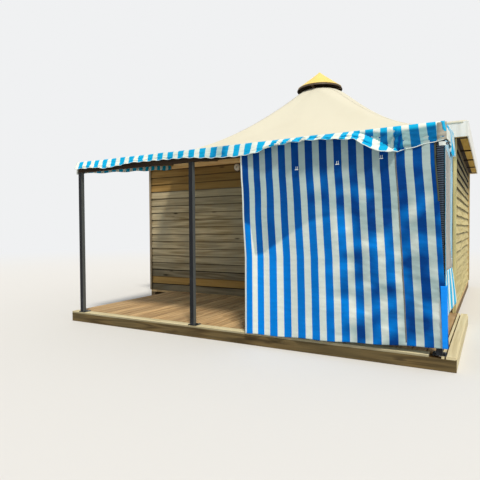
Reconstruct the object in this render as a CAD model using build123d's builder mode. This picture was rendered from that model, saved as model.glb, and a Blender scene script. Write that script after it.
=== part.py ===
"""A one-room chalet: timber walls, a swept canvas roof with a cap, and a striped awning over its deck.

All lengths are in millimetres. X runs along the front, Y from the terrace to the back, Z up.
The origin is on the ground, at the middle of the whole building's plan.
"""
import os
from math import atan2, cos, degrees, hypot, radians, sin, sqrt

from build123d import *

os.makedirs("parts", exist_ok=True)

# Cabin body
cabin_width = 5734          # over the side walls
cabin_depth = 4680          # over the front and back walls
wall_thickness = 70
wall_top = 2690             # underside of the eaves, above the ground
plate_height = 45
floor_level = 150           # cabin floor and terrace deck
floor_thickness = 40
bearer_width = 100
bearer_count = 5
joint_gap = 0.3             # between pieces that are only laid or butted together

# Doorway behind the curtain
door_setback = 1367         # from the right end of the front wall to the middle of the doorway
door_width = 1400
door_height = 2050
door_lining = 40
lining_proud = 12

# Corner trim boards
trim_width = 45
trim_thickness = 18

# Terrace
terrace_depth = 2492        # from the front wall to the front edge of the deck
terrace_left_setback = 551  # from the left end of the front wall to the left edge of the deck
deck_thickness = 28
fascia_board = 28
joist_width = 45
joist_count = 5

# Eaves
eaves_overhang = 178
soffit_thickness = 12
batten_width = 40
batten_depth = 18
batten_bays = 4             # soffit panels along each side
rim_width = 45
eaves_fascia_height = 224
eaves_fascia_drop = 9       # how far the fascia hangs below the soffit
eaves_fascia_thickness = 12

# Swept roof: from a round neck to the four eaves corners
neck_radius = 400
neck_height = 4400          # above the ground
roof_sweep = 1.85           # power of the profile, 1 for a straight slope
eaves_corner_radius = 70
roof_levels = 8             # sections from the neck to the eaves
canvas_thickness = 8

# Rafters and crown
rafter_depth = 110
rafter_width = 45
rafter_clearance = 18       # between the top of a rafter and the top of the canvas
rafter_foot = 160
crown_radius = 385
crown_wall = 40
crown_height = 110
arm_width = 50
arm_thickness = 12

# Cap
cap_radius = 493
cap_clearance = 40          # rise of the cap's edge above the neck of the canvas
cap_band_height = 45
cap_cone_radius = 475
cap_cone_height = 366
cap_thickness = 10

# Awning
post_size = 60
foot_size = 130
foot_thickness = 8
post_left_setback = 209     # from the left edge of the deck to the middle of the post
post_right_setback = 152    # from the right edge of the deck
left_bay = 2048             # between the left and middle posts
beam_height = 130
beam_top = 2400
awning_back_inset = 15      # from the right wall's face to the awning's right edge at the eaves
ledger_height = 130
ledger_width = 45
ledger_drop = 185           # from the top of the eaves to the top of the ledger
rafter_timber_width = 45
rafter_timber_height = 70
cloth_thickness = 8
valance_height = 140
side_valance_height = 170

# Curtains
curtain_width = 2248
curtain_bottom = 125
window_sill = 840           # lower edge of the side window
window_head = 2190
window_front = 25           # strips of cloth beside the window
window_back = 1140
side_foot_front = 400       # height of the side curtain's foot at the front post
side_foot_back = 265        # and at the wall

# Lamp
lamp_setback = 2100         # from the left end of the front wall
lamp_height = 2544
lamp_radius = 80
lamp_depth = 55

# Places that follow from the sizes above
curtain_room = 2 * joint_gap + cloth_thickness          # the curtain hangs behind the valance
roof_half_width = cabin_width / 2 + eaves_overhang
front_reach = terrace_depth + curtain_room + cloth_thickness
whole_depth = front_reach + cabin_depth + eaves_overhang
wall_back = whole_depth / 2 - eaves_overhang
wall_front = wall_back - cabin_depth
cabin_middle = (wall_back + wall_front) / 2
deck_front = wall_front - terrace_depth
roof_half_depth = cabin_depth / 2 + eaves_overhang
wall_side = cabin_width / 2
plate_bottom = wall_top - plate_height
soffit_top = wall_top + soffit_thickness
fascia_bottom = wall_top - eaves_fascia_drop
eaves_top = fascia_bottom + eaves_fascia_height
rim_half_width = roof_half_width - eaves_fascia_thickness - joint_gap
rim_half_depth = roof_half_depth - eaves_fascia_thickness - joint_gap
rim_top = eaves_top - canvas_thickness - joint_gap      # the canvas lies over the rim and the fascia
terrace_left = wall_side - terrace_left_setback
door_centre = wall_side - door_setback
lamp_x = lamp_setback - wall_side
post_left_x = post_left_setback - terrace_left
post_middle_x = post_left_x + left_bay
post_right_x = roof_half_width - post_right_setback
post_y = deck_front + post_size / 2
beam_front = deck_front
awning_left = post_left_x - post_size / 2
awning_right = post_right_x + post_size / 2
awning_back_right = wall_side - awning_back_inset
ledger_top = eaves_top - ledger_drop
curtain_left = awning_right - curtain_width


def write(piece, name):
    """Label a finished piece and save it."""
    piece.part.label = name
    export_step(piece.part, f"parts/{name}.step")


def slab(x_span, y_span, z_span):
    """A board, panel or squared timber between two values on each axis."""
    with BuildPart() as board:
        with BuildSketch(Plane.XY.offset(z_span[0])):
            with Locations(((x_span[0] + x_span[1]) / 2, (y_span[0] + y_span[1]) / 2)):
                Rectangle(x_span[1] - x_span[0], y_span[1] - y_span[0])
        extrude(amount=z_span[1] - z_span[0])
    return board


def frame_of_four(half_width, half_depth, board, z_span):
    """Four boards butted into a frame round the cabin's middle, the long ones running through."""
    with BuildPart() as frame:
        with BuildSketch(Plane.XY.offset(z_span[0])):
            for side in (-1, 1):
                with Locations((0, cabin_middle + side * (half_depth - board / 2))):
                    Rectangle(2 * half_width, board)
                with Locations((side * (half_width - board / 2), cabin_middle)):
                    Rectangle(board, 2 * (half_depth - board - joint_gap))
        extrude(amount=z_span[1] - z_span[0])
    return frame


def spread(first, last, count):
    """Evenly spaced places from first to last."""
    return [first + (last - first) * step / (count - 1) for step in range(count)]


# Base of the cabin: bearers on the ground and the floor on them
bearer_height = floor_level - floor_thickness
with BuildPart() as cabin_bearers:
    with BuildSketch(Plane.XY):
        bearer_reach = wall_side - bearer_width / 2
        with Locations([(x, cabin_middle) for x in spread(-bearer_reach, bearer_reach, bearer_count)]):
            Rectangle(bearer_width, cabin_depth)
    extrude(amount=bearer_height)
write(cabin_bearers, "cabin_bearers")

cabin_floor = slab((-wall_side, wall_side), (wall_front, wall_back), (bearer_height, floor_level))
write(cabin_floor, "cabin_floor")

# Terrace: joists between three fascia boards, and the deck over them
joist_top = floor_level - deck_thickness
deck_right = roof_half_width
with BuildPart() as terrace_joists:
    with BuildSketch(Plane.XY):
        joist_length = deck_right + terrace_left - 2 * fascia_board
        joist_first = deck_front + fascia_board + joist_width / 2
        joist_last = wall_front - joist_width / 2
        with Locations([((deck_right - terrace_left) / 2, y) for y in spread(joist_first, joist_last, joist_count)]):
            Rectangle(joist_length, joist_width)
    extrude(amount=joist_top)
write(terrace_joists, "terrace_joists")

terrace_deck = slab((-terrace_left, deck_right), (deck_front, wall_front), (joist_top, floor_level))
write(terrace_deck, "terrace_deck")

terrace_front_fascia = slab((-terrace_left, deck_right), (deck_front, deck_front + fascia_board), (0, joist_top))
write(terrace_front_fascia, "terrace_front_fascia")

for name, outer_edge, inward in (("terrace_left_fascia", -terrace_left, 1), ("terrace_right_fascia", deck_right, -1)):
    edges = sorted((outer_edge, outer_edge + inward * fascia_board))
    side_fascia = slab(edges, (deck_front + fascia_board, wall_front), (0, joist_top))
    write(side_fascia, name)

# Walls, between the floor and the plate; the front wall is split round its doorway
wall_z = (floor_level, plate_bottom)
door_left = door_centre - door_width / 2
door_right = door_centre + door_width / 2
door_top = floor_level + door_height
front_y = (wall_front, wall_front + wall_thickness)
side_y = (wall_front + wall_thickness, wall_back - wall_thickness)

front_wall_left = slab((-wall_side, door_left), front_y, wall_z)
write(front_wall_left, "front_wall_left")

front_wall_right = slab((door_right, wall_side), front_y, wall_z)
write(front_wall_right, "front_wall_right")

front_wall_lintel = slab((door_left, door_right), front_y, (door_top, plate_bottom))
write(front_wall_lintel, "front_wall_lintel")

back_wall = slab((-wall_side, wall_side), (wall_back - wall_thickness, wall_back), wall_z)
write(back_wall, "back_wall")

left_wall = slab((-wall_side, wall_thickness - wall_side), side_y, wall_z)
write(left_wall, "left_wall")

right_wall = slab((wall_side - wall_thickness, wall_side), side_y, wall_z)
write(right_wall, "right_wall")

wall_plate = frame_of_four(wall_side, cabin_depth / 2, wall_thickness, (plate_bottom, wall_top))
write(wall_plate, "wall_plate")

# Door lining: two jambs and a head laid on them, a little proud of the wall on both faces
with BuildPart() as door_frame:
    with BuildSketch(Plane.XZ.offset(lining_proud - wall_front)):
        jamb_height = door_height - door_lining - 2 * joint_gap
        for side in (-1, 1):
            jamb_x = door_centre + side * (door_width / 2 - joint_gap - door_lining / 2)
            with Locations((jamb_x, floor_level + jamb_height / 2)):
                Rectangle(door_lining, jamb_height)
        with Locations((door_centre, door_top - joint_gap - door_lining / 2)):
            Rectangle(door_width - 2 * joint_gap, door_lining)
    extrude(amount=-(wall_thickness + 2 * lining_proud))
write(door_frame, "door_frame")

# Corner trims: an angle of two boards outside each corner, from the floor's edge to the soffit
with BuildPart() as corner_trims:
    with BuildSketch(Plane.XY.offset(floor_level)):
        for side_x in (-1, 1):
            for side_y_sign in (-1, 1):
                outer_x = side_x * (wall_side + joint_gap + trim_thickness)
                outer_y = cabin_middle + side_y_sign * (cabin_depth / 2 + joint_gap + trim_thickness)
                with BuildLine():
                    Polyline(
                        (outer_x, outer_y),
                        (outer_x - side_x * trim_width, outer_y),
                        (outer_x - side_x * trim_width, outer_y - side_y_sign * trim_thickness),
                        (outer_x - side_x * trim_thickness, outer_y - side_y_sign * trim_thickness),
                        (outer_x - side_x * trim_thickness, outer_y - side_y_sign * trim_width),
                        (outer_x, outer_y - side_y_sign * trim_width),
                        close=True,
                    )
                make_face()
    extrude(amount=wall_top - floor_level - joint_gap)
write(corner_trims, "corner_trims")

# Lamp: a round bulkhead body with a domed glass, on the front wall
with BuildPart() as wall_lamp:
    with BuildSketch(Plane((lamp_x, wall_front, lamp_height), x_dir=(1, 0, 0), z_dir=(0, -1, 0))):
        Circle(lamp_radius)
    extrude(amount=lamp_depth, taper=18)
    fillet(wall_lamp.faces().sort_by(Axis.Y)[0].edges(), radius=lamp_depth / 4)
write(wall_lamp, "wall_lamp")

# Eaves: soffit boards on the plate, battens under them, rim timbers on their edge, and the fascia
soffit_board = eaves_overhang + wall_thickness - eaves_fascia_thickness - joint_gap
eaves_soffit = frame_of_four(rim_half_width, rim_half_depth, soffit_board, (wall_top, soffit_top))
write(eaves_soffit, "eaves_soffit")

eaves_rim = frame_of_four(rim_half_width, rim_half_depth, rim_width, (soffit_top, rim_top))
write(eaves_rim, "eaves_rim")

eaves_fascia = frame_of_four(roof_half_width, roof_half_depth, eaves_fascia_thickness, (fascia_bottom, rim_top))
write(eaves_fascia, "eaves_fascia")

with BuildPart() as soffit_battens:
    with BuildSketch(Plane.XY.offset(wall_top)):
        batten_length = eaves_overhang - eaves_fascia_thickness - 2 * joint_gap
        for side in (-1, 1):
            across = wall_side + joint_gap + batten_length / 2
            along = spread(wall_front, wall_back, batten_bays + 1)[1:-1]
            with Locations([(side * across, y) for y in along]):
                Rectangle(batten_length, batten_width)
            out = cabin_middle + side * (cabin_depth / 2 + joint_gap + batten_length / 2)
            along = spread(-wall_side, wall_side, batten_bays + 1)[1:-1]
            with Locations([(x, out) for x in along]):
                Rectangle(batten_width, batten_length)
    extrude(amount=-batten_depth)
write(soffit_battens, "soffit_battens")

# Swept canvas: sections that widen from the round neck to the eaves, on a falling power curve
roof_rise = neck_height - eaves_top


def roof_height(share):
    """Top of the canvas at a share of the way from the neck, 0, to the eaves, 1."""
    return eaves_top + roof_rise * (1 - share) ** roof_sweep


def roof_section(share):
    """Half width, half depth and corner radius of the canvas at that share."""
    half_width = neck_radius + (roof_half_width - neck_radius) * share
    half_depth = neck_radius + (roof_half_depth - neck_radius) * share
    corner = neck_radius * 0.98 + (eaves_corner_radius - neck_radius * 0.98) * share
    return half_width, half_depth, corner


def roof_mass(drop):
    """The solid under the canvas surface, lowered by drop."""
    with BuildPart() as mass:
        for level in range(roof_levels):
            share = level / (roof_levels - 1)
            half_width, half_depth, corner = roof_section(share)
            with BuildSketch(Plane((0, cabin_middle, roof_height(share) - drop))):
                RectangleRounded(2 * half_width, 2 * half_depth, corner)
        loft()
        with BuildSketch(Plane((0, cabin_middle, eaves_top - drop))):
            RectangleRounded(2 * roof_half_width, 2 * roof_half_depth, eaves_corner_radius)
        extrude(amount=-canvas_thickness)
    return mass


canvas_outside = roof_mass(0)
canvas_inside = roof_mass(canvas_thickness)
panel_directions = {"front": -90, "right": 0, "back": 90, "left": 180}
for name, direction in panel_directions.items():
    facing_depth = name in ("front", "back")
    hip_angle = degrees(atan2(roof_half_width, roof_half_depth))
    half_angle = hip_angle if facing_depth else 90 - hip_angle
    reach = 2 * hypot(roof_half_width, roof_half_depth)
    with BuildPart() as canvas_panel:
        add(canvas_outside.part)
        add(canvas_inside.part, mode=Mode.SUBTRACT)
        with BuildSketch(Plane((0, cabin_middle, eaves_top - canvas_thickness))):
            with BuildLine():
                start = radians(direction - half_angle)
                end = radians(direction + half_angle)
                Polyline(
                    (0, 0),
                    (reach * cos(start), reach * sin(start)),
                    (reach * cos(end), reach * sin(end)),
                    close=True,
                )
            make_face()
            Circle(crown_radius, mode=Mode.SUBTRACT)
        extrude(amount=roof_rise + 2 * canvas_thickness, mode=Mode.INTERSECT)
    write(canvas_panel, f"roof_canvas_{name}")


# Rafters: planks sawn to the sweep of the roof, from the crown ring to a foot inside the rim
def roof_run(share, angle):
    """Distance from the middle to the canvas section at that share, in the direction of angle."""
    half_width, half_depth, corner = roof_section(share)
    along_x, along_y = abs(cos(radians(angle))), abs(sin(radians(angle)))
    if half_width * along_y <= half_depth * along_x:
        side_run = half_width / along_x
    else:
        side_run = half_depth / along_y
    centre_x, centre_y = half_width - corner, half_depth - corner
    if side_run * along_x <= centre_x or side_run * along_y <= centre_y:
        return side_run
    nearest = centre_x * along_x + centre_y * along_y
    return nearest + sqrt(nearest**2 - centre_x**2 - centre_y**2 + corner**2)


def rafter(angle):
    """One rafter in the vertical plane at that angle."""
    shares = spread(0, 1, roof_levels)
    runs = [roof_run(share, angle) for share in shares]
    tops = [roof_height(share) - rafter_clearance for share in shares]
    crown_end = crown_radius + joint_gap
    across = (cos(radians(angle)), sin(radians(angle)), 0)
    upright = Plane((0, cabin_middle, 0), x_dir=across, z_dir=(across[1], -across[0], 0))
    foot_length = rafter_foot + rafter_inside
    foot_top = tops[-1] - rafter_depth / 2
    with BuildPart() as plank:
        with BuildSketch(upright):
            with BuildLine():
                upper = Spline(*zip(runs, tops))
                lower = Spline(*[(run, top - rafter_depth) for run, top in zip(runs, tops)])
                Polyline(upper @ 0, (crown_end, tops[0]), (crown_end, tops[0] - rafter_depth), lower @ 0)
                Line(upper @ 1, lower @ 1)
            make_face()
            with Locations((runs[-1] - foot_length / 2, (soffit_top + foot_top) / 2)):
                Rectangle(foot_length, foot_top - soffit_top)
        extrude(amount=rafter_width / 2, both=True)
        with BuildSketch(Plane((0, cabin_middle, soffit_top))):
            Rectangle(2 * (rim_half_width - rafter_inside), 2 * (rim_half_depth - rafter_inside))
        extrude(amount=neck_height - soffit_top, mode=Mode.INTERSECT)
    return plank


rafter_inside = rim_width + joint_gap
crown_top = neck_height - rafter_clearance
hip_angle = degrees(atan2(roof_half_depth, roof_half_width))
with BuildPart() as hip_rafters:
    for angle in (hip_angle, 180 - hip_angle, 180 + hip_angle, -hip_angle):
        add(rafter(angle).part)
write(hip_rafters, "hip_rafters")

with BuildPart() as side_rafters:
    for angle in (0, 90, 180, 270):
        add(rafter(angle).part)
write(side_rafters, "side_rafters")

# Crown: a ring that the rafters meet, and crossed arms on it that carry the cap above the neck
with BuildPart() as crown_ring:
    with BuildSketch(Plane((0, cabin_middle, crown_top - crown_height))):
        Circle(crown_radius)
        Circle(crown_radius - crown_wall, mode=Mode.SUBTRACT)
    extrude(amount=crown_height)
write(crown_ring, "crown_ring")

cap_bottom = neck_height + cap_clearance
with BuildPart() as crown_arms:
    with BuildSketch(Plane((0, cabin_middle, crown_top))):
        with PolarLocations(crown_radius - crown_wall / 2, 4):
            Rectangle(crown_wall * 0.8, arm_width)
    extrude(amount=cap_bottom - crown_top - arm_thickness)
    with BuildSketch(Plane((0, cabin_middle, cap_bottom - arm_thickness))):
        for turn in (0, 90):
            Rectangle(2 * (cap_radius - cap_thickness), arm_width, rotation=turn)
    extrude(amount=arm_thickness)
write(crown_arms, "crown_arms")

# Cap: a dark band that flares outwards, and a cone on it, both thin shells
band_top = cap_bottom + cap_band_height
with BuildPart() as cap_rim:
    with BuildSketch(Plane((0, cabin_middle, 0), x_dir=(1, 0, 0), z_dir=(0, -1, 0))):
        with BuildLine():
            Polyline(
                (cap_radius - 2 * cap_thickness, cap_bottom),
                (cap_radius, cap_bottom),
                (cap_cone_radius, band_top),
                (cap_cone_radius - 2 * cap_thickness, band_top),
                close=True,
            )
        make_face()
    revolve(axis=Axis((0, cabin_middle, 0), (0, 0, 1)))
write(cap_rim, "cap_rim")

with BuildPart() as cap_cone:
    with BuildSketch(Plane((0, cabin_middle, 0), x_dir=(1, 0, 0), z_dir=(0, -1, 0))):
        with BuildLine():
            Polyline(
                (0, band_top + cap_cone_height - 2 * cap_thickness),
                (cap_cone_radius - 3 * cap_thickness, band_top),
                (cap_cone_radius, band_top),
                (0, band_top + cap_cone_height),
                close=True,
            )
        make_face()
    revolve(axis=Axis((0, cabin_middle, 0), (0, 0, 1)))
write(cap_cone, "cap_cone")

# Awning frame: three steel posts on foot plates, a front beam, a ledger on the eaves and rafters
for name, post_x in (("post_left", post_left_x), ("post_middle", post_middle_x), ("post_right", post_right_x)):
    with BuildPart() as post:
        with BuildSketch(Plane.XY.offset(floor_level)):
            with Locations((post_x, post_y + foot_size / 2 - post_size / 2)):
                RectangleRounded(foot_size, foot_size, foot_thickness)
        extrude(amount=foot_thickness)
        with BuildSketch(Plane.XY.offset(floor_level)):
            with Locations((post_x, post_y)):
                RectangleRounded(post_size, post_size, foot_thickness / 2)
        extrude(amount=beam_top - beam_height - floor_level)
    write(post, name)

front_beam = slab((awning_left, awning_right), (beam_front, beam_front + post_size), (beam_top - beam_height, beam_top))
write(front_beam, "front_beam")

ledger_back = wall_front - eaves_overhang - joint_gap
ledger_front = ledger_back - ledger_width

# The awning narrows to the wall: its right side runs from the back of the corner post to the ledger
post_back = beam_front + post_size
side_turn = hypot(awning_right - awning_back_right, ledger_front - post_back)
side_along = ((awning_back_right - awning_right) / side_turn, (ledger_front - post_back) / side_turn, 0)


def side_x(y):
    """Right edge of the awning at that place from front to back."""
    return awning_right + (y - post_back) * side_along[0] / side_along[1]


side_plane = Plane(
    (side_x(beam_front), beam_front, 0),
    x_dir=side_along,
    z_dir=(side_along[1], -side_along[0], 0),
).offset(joint_gap)


def on_side(y):
    """Distance along the side plane to that place from front to back."""
    return (y - beam_front) / side_along[1]


ledger_z = (ledger_top - ledger_height, ledger_top)
awning_ledger = slab((awning_left, side_x(ledger_back)), (ledger_front, ledger_back), ledger_z)
write(awning_ledger, "awning_ledger")

# The canopy lies from the front edge of the beam to the front edge of the ledger
canopy_slope = (ledger_top - beam_top) / (ledger_front - beam_front)
canopy_lean = (1 + canopy_slope**2) ** 0.5
canopy_front = beam_front - curtain_room
rafter_back = ledger_front - joint_gap
rafter_front = post_back + joint_gap


def under_canopy(y):
    """Height of the underside of the canopy, joint_gap above the beam's front edge."""
    return beam_top + joint_gap + canopy_slope * (y - beam_front)


cloth_rise = cloth_thickness * canopy_lean
last_rafter = awning_back_right - rafter_timber_width
with BuildPart() as awning_rafters:
    for rafter_x in spread(post_left_x, post_middle_x, 3)[:-1] + spread(post_middle_x, last_rafter, 3):
        with BuildSketch(Plane.YZ.offset(rafter_x)):
            with BuildLine():
                Polyline(
                    (rafter_front, under_canopy(rafter_front) - joint_gap),
                    (rafter_back, under_canopy(rafter_back) - joint_gap),
                    (rafter_back, under_canopy(rafter_back) - joint_gap - rafter_timber_height),
                    (rafter_front, under_canopy(rafter_front) - joint_gap - rafter_timber_height),
                    close=True,
                )
            make_face()
        extrude(amount=rafter_timber_width / 2, both=True)
write(awning_rafters, "awning_rafters")

with BuildPart() as awning_canopy:
    with BuildSketch(Plane.YZ.offset(awning_left)):
        with BuildLine():
            Polyline(
                (canopy_front, under_canopy(canopy_front)),
                (ledger_back, under_canopy(ledger_back)),
                (ledger_back, under_canopy(ledger_back) + cloth_rise),
                (canopy_front, under_canopy(canopy_front) + cloth_rise),
                close=True,
            )
        make_face()
    extrude(amount=side_x(canopy_front) - awning_left)
    with BuildSketch():
        with BuildLine():
            Polyline(
                (awning_left, canopy_front),
                (side_x(canopy_front), canopy_front),
                (side_x(ledger_back), ledger_back),
                (awning_left, ledger_back),
                close=True,
            )
        make_face()
    extrude(amount=eaves_top, mode=Mode.INTERSECT)
write(awning_canopy, "awning_canopy")

# Valances: the canopy's cloth turned down over the beam and along both sides
valance_top = under_canopy(canopy_front) + cloth_rise
valance_reach = joint_gap + cloth_thickness
front_valance = slab(
    (awning_left - valance_reach, side_x(canopy_front) + valance_reach),
    (canopy_front - cloth_thickness, canopy_front - joint_gap),
    (valance_top - valance_height, valance_top),
)
write(front_valance, "front_valance")



def side_valance(plane, front, back):
    """A strip of cloth down from the canopy's edge, between two places along an upright plane."""
    with BuildPart() as strip:
        with BuildSketch(plane):
            with BuildLine():
                Polyline(
                    (front, under_canopy(canopy_front) + cloth_rise),
                    (back, under_canopy(ledger_back) + cloth_rise),
                    (back, under_canopy(ledger_back) + cloth_rise - side_valance_height),
                    (front, under_canopy(canopy_front) + cloth_rise - side_valance_height),
                    close=True,
                )
            make_face()
        extrude(amount=cloth_thickness)
    return strip


left_valance = side_valance(Plane.YZ.offset(awning_left - valance_reach), canopy_front, ledger_back)
write(left_valance, "left_valance")

right_valance = side_valance(side_plane, on_side(canopy_front), on_side(ledger_back))
write(right_valance, "right_valance")

# Curtains: one across the right of the front, one along the right side with a window in it
curtain_right = awning_right
front_curtain = slab(
    (curtain_left, curtain_right),
    (beam_front - joint_gap - cloth_thickness, beam_front - joint_gap),
    (curtain_bottom, under_canopy(canopy_front) - joint_gap),
)
write(front_curtain, "front_curtain")

curtain_back = on_side(wall_front - trim_thickness - 2 * joint_gap)
window_span = (window_front, curtain_back - window_back)
window_centre = ((window_span[0] + window_span[1]) / 2, (window_sill + window_head) / 2)
window_width = window_span[1] - window_span[0]
window_height = window_head - window_sill


def side_curtain_top(y):
    """The side curtain hangs from just under the side valance."""
    return under_canopy(y) + cloth_rise - side_valance_height - joint_gap


top_at_wall = min(side_curtain_top(ledger_front), fascia_bottom - joint_gap)
with BuildPart() as side_curtain:
    with BuildSketch(side_plane):
        with BuildLine():
            Polyline(
                (0, side_foot_front),
                (curtain_back, side_foot_back),
                (curtain_back, top_at_wall),
                (on_side(ledger_front), top_at_wall),
                (0, side_curtain_top(beam_front)),
                close=True,
            )
        make_face()
        with Locations(window_centre):
            Rectangle(window_width, window_height, mode=Mode.SUBTRACT)
    extrude(amount=cloth_thickness)
write(side_curtain, "side_curtain")

with BuildPart() as side_window:
    with BuildSketch(side_plane.offset(cloth_thickness / 4)):
        with Locations(window_centre):
            Rectangle(window_width - 2 * joint_gap, window_height - 2 * joint_gap)
    extrude(amount=cloth_thickness / 2)
write(side_window, "side_window")
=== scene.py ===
# %% [markdown]
# # A timber chalet with a swept canvas roof and a striped awning
# The real building is a one-room holiday cabin: lap boards on a timber frame, a cream canvas
# roof that sweeps up to a vent cap, and a lean-to awning of blue and white cloth over its deck.
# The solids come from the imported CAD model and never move. This lesson dresses them: it builds
# boards, cloth and fittings in mesh code where the solids are too plain, and gives each part a
# finish made of shader nodes.

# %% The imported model
import math
import random

import bpy
from mathutils import Matrix, Vector, noise


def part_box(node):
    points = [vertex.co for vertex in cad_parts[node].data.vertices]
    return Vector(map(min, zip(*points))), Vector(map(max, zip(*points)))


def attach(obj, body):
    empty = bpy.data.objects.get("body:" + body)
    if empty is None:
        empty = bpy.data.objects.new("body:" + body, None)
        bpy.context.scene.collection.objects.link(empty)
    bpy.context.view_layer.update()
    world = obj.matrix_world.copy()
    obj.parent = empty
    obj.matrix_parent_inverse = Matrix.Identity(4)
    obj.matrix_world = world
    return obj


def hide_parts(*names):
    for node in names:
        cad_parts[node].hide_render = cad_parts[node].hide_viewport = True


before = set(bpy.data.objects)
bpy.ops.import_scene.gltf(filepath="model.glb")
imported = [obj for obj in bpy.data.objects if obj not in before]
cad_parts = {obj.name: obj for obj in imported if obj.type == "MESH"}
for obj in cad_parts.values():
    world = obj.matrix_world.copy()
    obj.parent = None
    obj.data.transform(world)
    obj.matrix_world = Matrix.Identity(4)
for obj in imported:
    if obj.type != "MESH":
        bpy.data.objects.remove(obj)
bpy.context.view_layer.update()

# %% [markdown]
# ## The camera
# The photo was taken from the front right, 1.4 m above the building's foot. A plain way would be
# to aim the camera by eye. Here its place, turn and lens were worked out from the lines and
# corners of the deck, eaves, walls and posts in the photo, so they are simply written down.

# %% Camera
eye_place = Vector((3.323, -8.3857, 1.399))
yaw, pitch, roll = math.radians(29.35), math.radians(-1.4), math.radians(-0.38)
look = Vector((-math.sin(yaw) * math.cos(pitch), math.cos(yaw) * math.cos(pitch), math.sin(pitch)))
level_right = Vector((math.cos(yaw), math.sin(yaw), 0))
level_up = level_right.cross(look)
right = level_right * math.cos(roll) + level_up * math.sin(roll)
up = level_up * math.cos(roll) - level_right * math.sin(roll)
camera = bpy.data.objects.new("camera", bpy.data.cameras.new("camera"))
camera.data.sensor_width = 36
camera.data.lens = 33.45
turn = Matrix((right, up, -look)).transposed()
camera.matrix_world = Matrix.Translation(eye_place) @ turn.to_4x4()
bpy.context.scene.collection.objects.link(camera)
bpy.context.scene.camera = camera
print("camera looks along", tuple(round(value, 3) for value in look))

# %% [markdown]
# ## Colours and nodes
# Colours are picked on screen as hex values, which are sRGB, but shaders work in linear light.
# One function turns the one into the other. Another adds a shader node with its settings and
# links, which keeps each finish short enough to read.

# %% Helpers for finishes


def tint(code):
    """The linear colour of an sRGB hex value."""
    channels = [int(code[place:place + 2], 16) / 255 for place in (1, 3, 5)]
    linear = [c / 12.92 if c <= 0.04045 else ((c + 0.055) / 1.055) ** 2.4 for c in channels]
    return (*linear, 1.0)


def add(tree, kind, inputs=(), **settings):
    """Add a node: its settings by name, and its inputs as values or as sockets to link."""
    node = tree.nodes.new(kind)
    for name, value in settings.items():
        setattr(node, name, value)
    for name, value in dict(inputs).items():
        if isinstance(value, bpy.types.NodeSocket):
            tree.links.new(value, node.inputs[name])
        else:
            node.inputs[name].default_value = value
    return node


def new_finish(name, roughness, ior=1.5, metallic=0.0, skin=1.0):
    """An empty finish. skin is how much of a smooth skin's gloss it has: fibres scatter it."""
    material = bpy.data.materials.new(name)
    material.use_nodes = True
    surface = material.node_tree.nodes["Principled BSDF"]
    surface.inputs["Roughness"].default_value = roughness
    surface.inputs["IOR"].default_value = ior
    surface.inputs["Metallic"].default_value = metallic
    surface.inputs["Specular IOR Level"].default_value = 0.5 * skin
    return material, material.node_tree, surface


print("white is", tint("#FFFFFF"), "and mid grey is", round(tint("#808080")[0], 3))

# %% [markdown]
# ## Floor, backdrop and light
# The building stands on a plain pale floor. One soft key light from the front right and an even
# fill light show its form without hard shadows. The pale background is only what the camera, gloss
# and glass see, so it adds no light to the building.

# %% Fill light and background
scene = bpy.context.scene
scene.view_settings.view_transform = "Standard"
backdrop = tint("#F0F1F2")
fill_strength = 0.62

world = bpy.data.worlds.new("studio")
world.use_nodes = True
scene.world = world
sky = world.node_tree
sky.nodes.clear()
ray = add(sky, "ShaderNodeLightPath")
seen = add(sky, "ShaderNodeMath", {0: ray.outputs["Is Camera Ray"], 1: ray.outputs["Is Glossy Ray"]})
seen = add(sky, "ShaderNodeMath", {0: seen.outputs[0], 1: ray.outputs["Is Transmission Ray"]}, use_clamp=True)
fill = add(sky, "ShaderNodeBackground", {"Color": tint("#F2F5FA"), "Strength": fill_strength})
shown = add(sky, "ShaderNodeBackground", {"Color": backdrop, "Strength": 1.0})
both = add(sky, "ShaderNodeMixShader", {0: seen.outputs[0], 1: fill.outputs[0], 2: shown.outputs[0]})
add(sky, "ShaderNodeOutputWorld", {"Surface": both.outputs[0]})
print("fill light", fill_strength)

# %% Key light
key = bpy.data.objects.new("key_light", bpy.data.lights.new("key_light", "SUN"))
key.data.energy = 2.6
key.data.angle = math.radians(9)
key.data.color = tint("#FFF8EC")[:3]
towards_light = Vector((0.60, -0.76, 1.42))
key.rotation_mode = "QUATERNION"
key.rotation_quaternion = towards_light.to_track_quat("Z", "Y")
scene.collection.objects.link(key)
print("key light", key.data.energy, "from", tuple(round(value, 2) for value in towards_light))

# %% Studio floor: matt pale paint, which fades into the background far from the building
fade_from, fade_to, span = 7.0, 26.0, 90
floor_finish, tree, surface = new_finish("pale_studio_floor", 0.9)
surface.inputs["Base Color"].default_value = tint("#DCDBD8")
place = add(tree, "ShaderNodeTexCoord")
away = add(tree, "ShaderNodeVectorMath", {0: place.outputs["Object"]}, operation="LENGTH")
far = add(tree, "ShaderNodeMapRange", {"Value": away.outputs["Value"], "From Min": fade_from,
                                       "From Max": fade_to}, interpolation_type="SMOOTHSTEP")
ray = add(tree, "ShaderNodeLightPath")
fade = add(tree, "ShaderNodeMath", {0: far.outputs[0], 1: ray.outputs["Is Camera Ray"]}, operation="MULTIPLY")
glow = add(tree, "ShaderNodeEmission", {"Color": backdrop, "Strength": 1.0})
mixed = add(tree, "ShaderNodeMixShader", {0: fade.outputs[0], 1: surface.outputs[0], 2: glow.outputs[0]})
tree.links.new(mixed.outputs[0], tree.nodes["Material Output"].inputs["Surface"])
floor_mesh = bpy.data.meshes.new("studio_floor")
square = [(-span, -span, 0), (span, -span, 0), (span, span, 0), (-span, span, 0)]
floor_mesh.from_pydata(square, [], [(0, 1, 2, 3)])
floor_mesh.materials.append(floor_finish)
studio_floor = bpy.data.objects.new("studio_floor", floor_mesh)
scene.collection.objects.link(studio_floor)
print("floor", 2 * span, "m wide")

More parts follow.
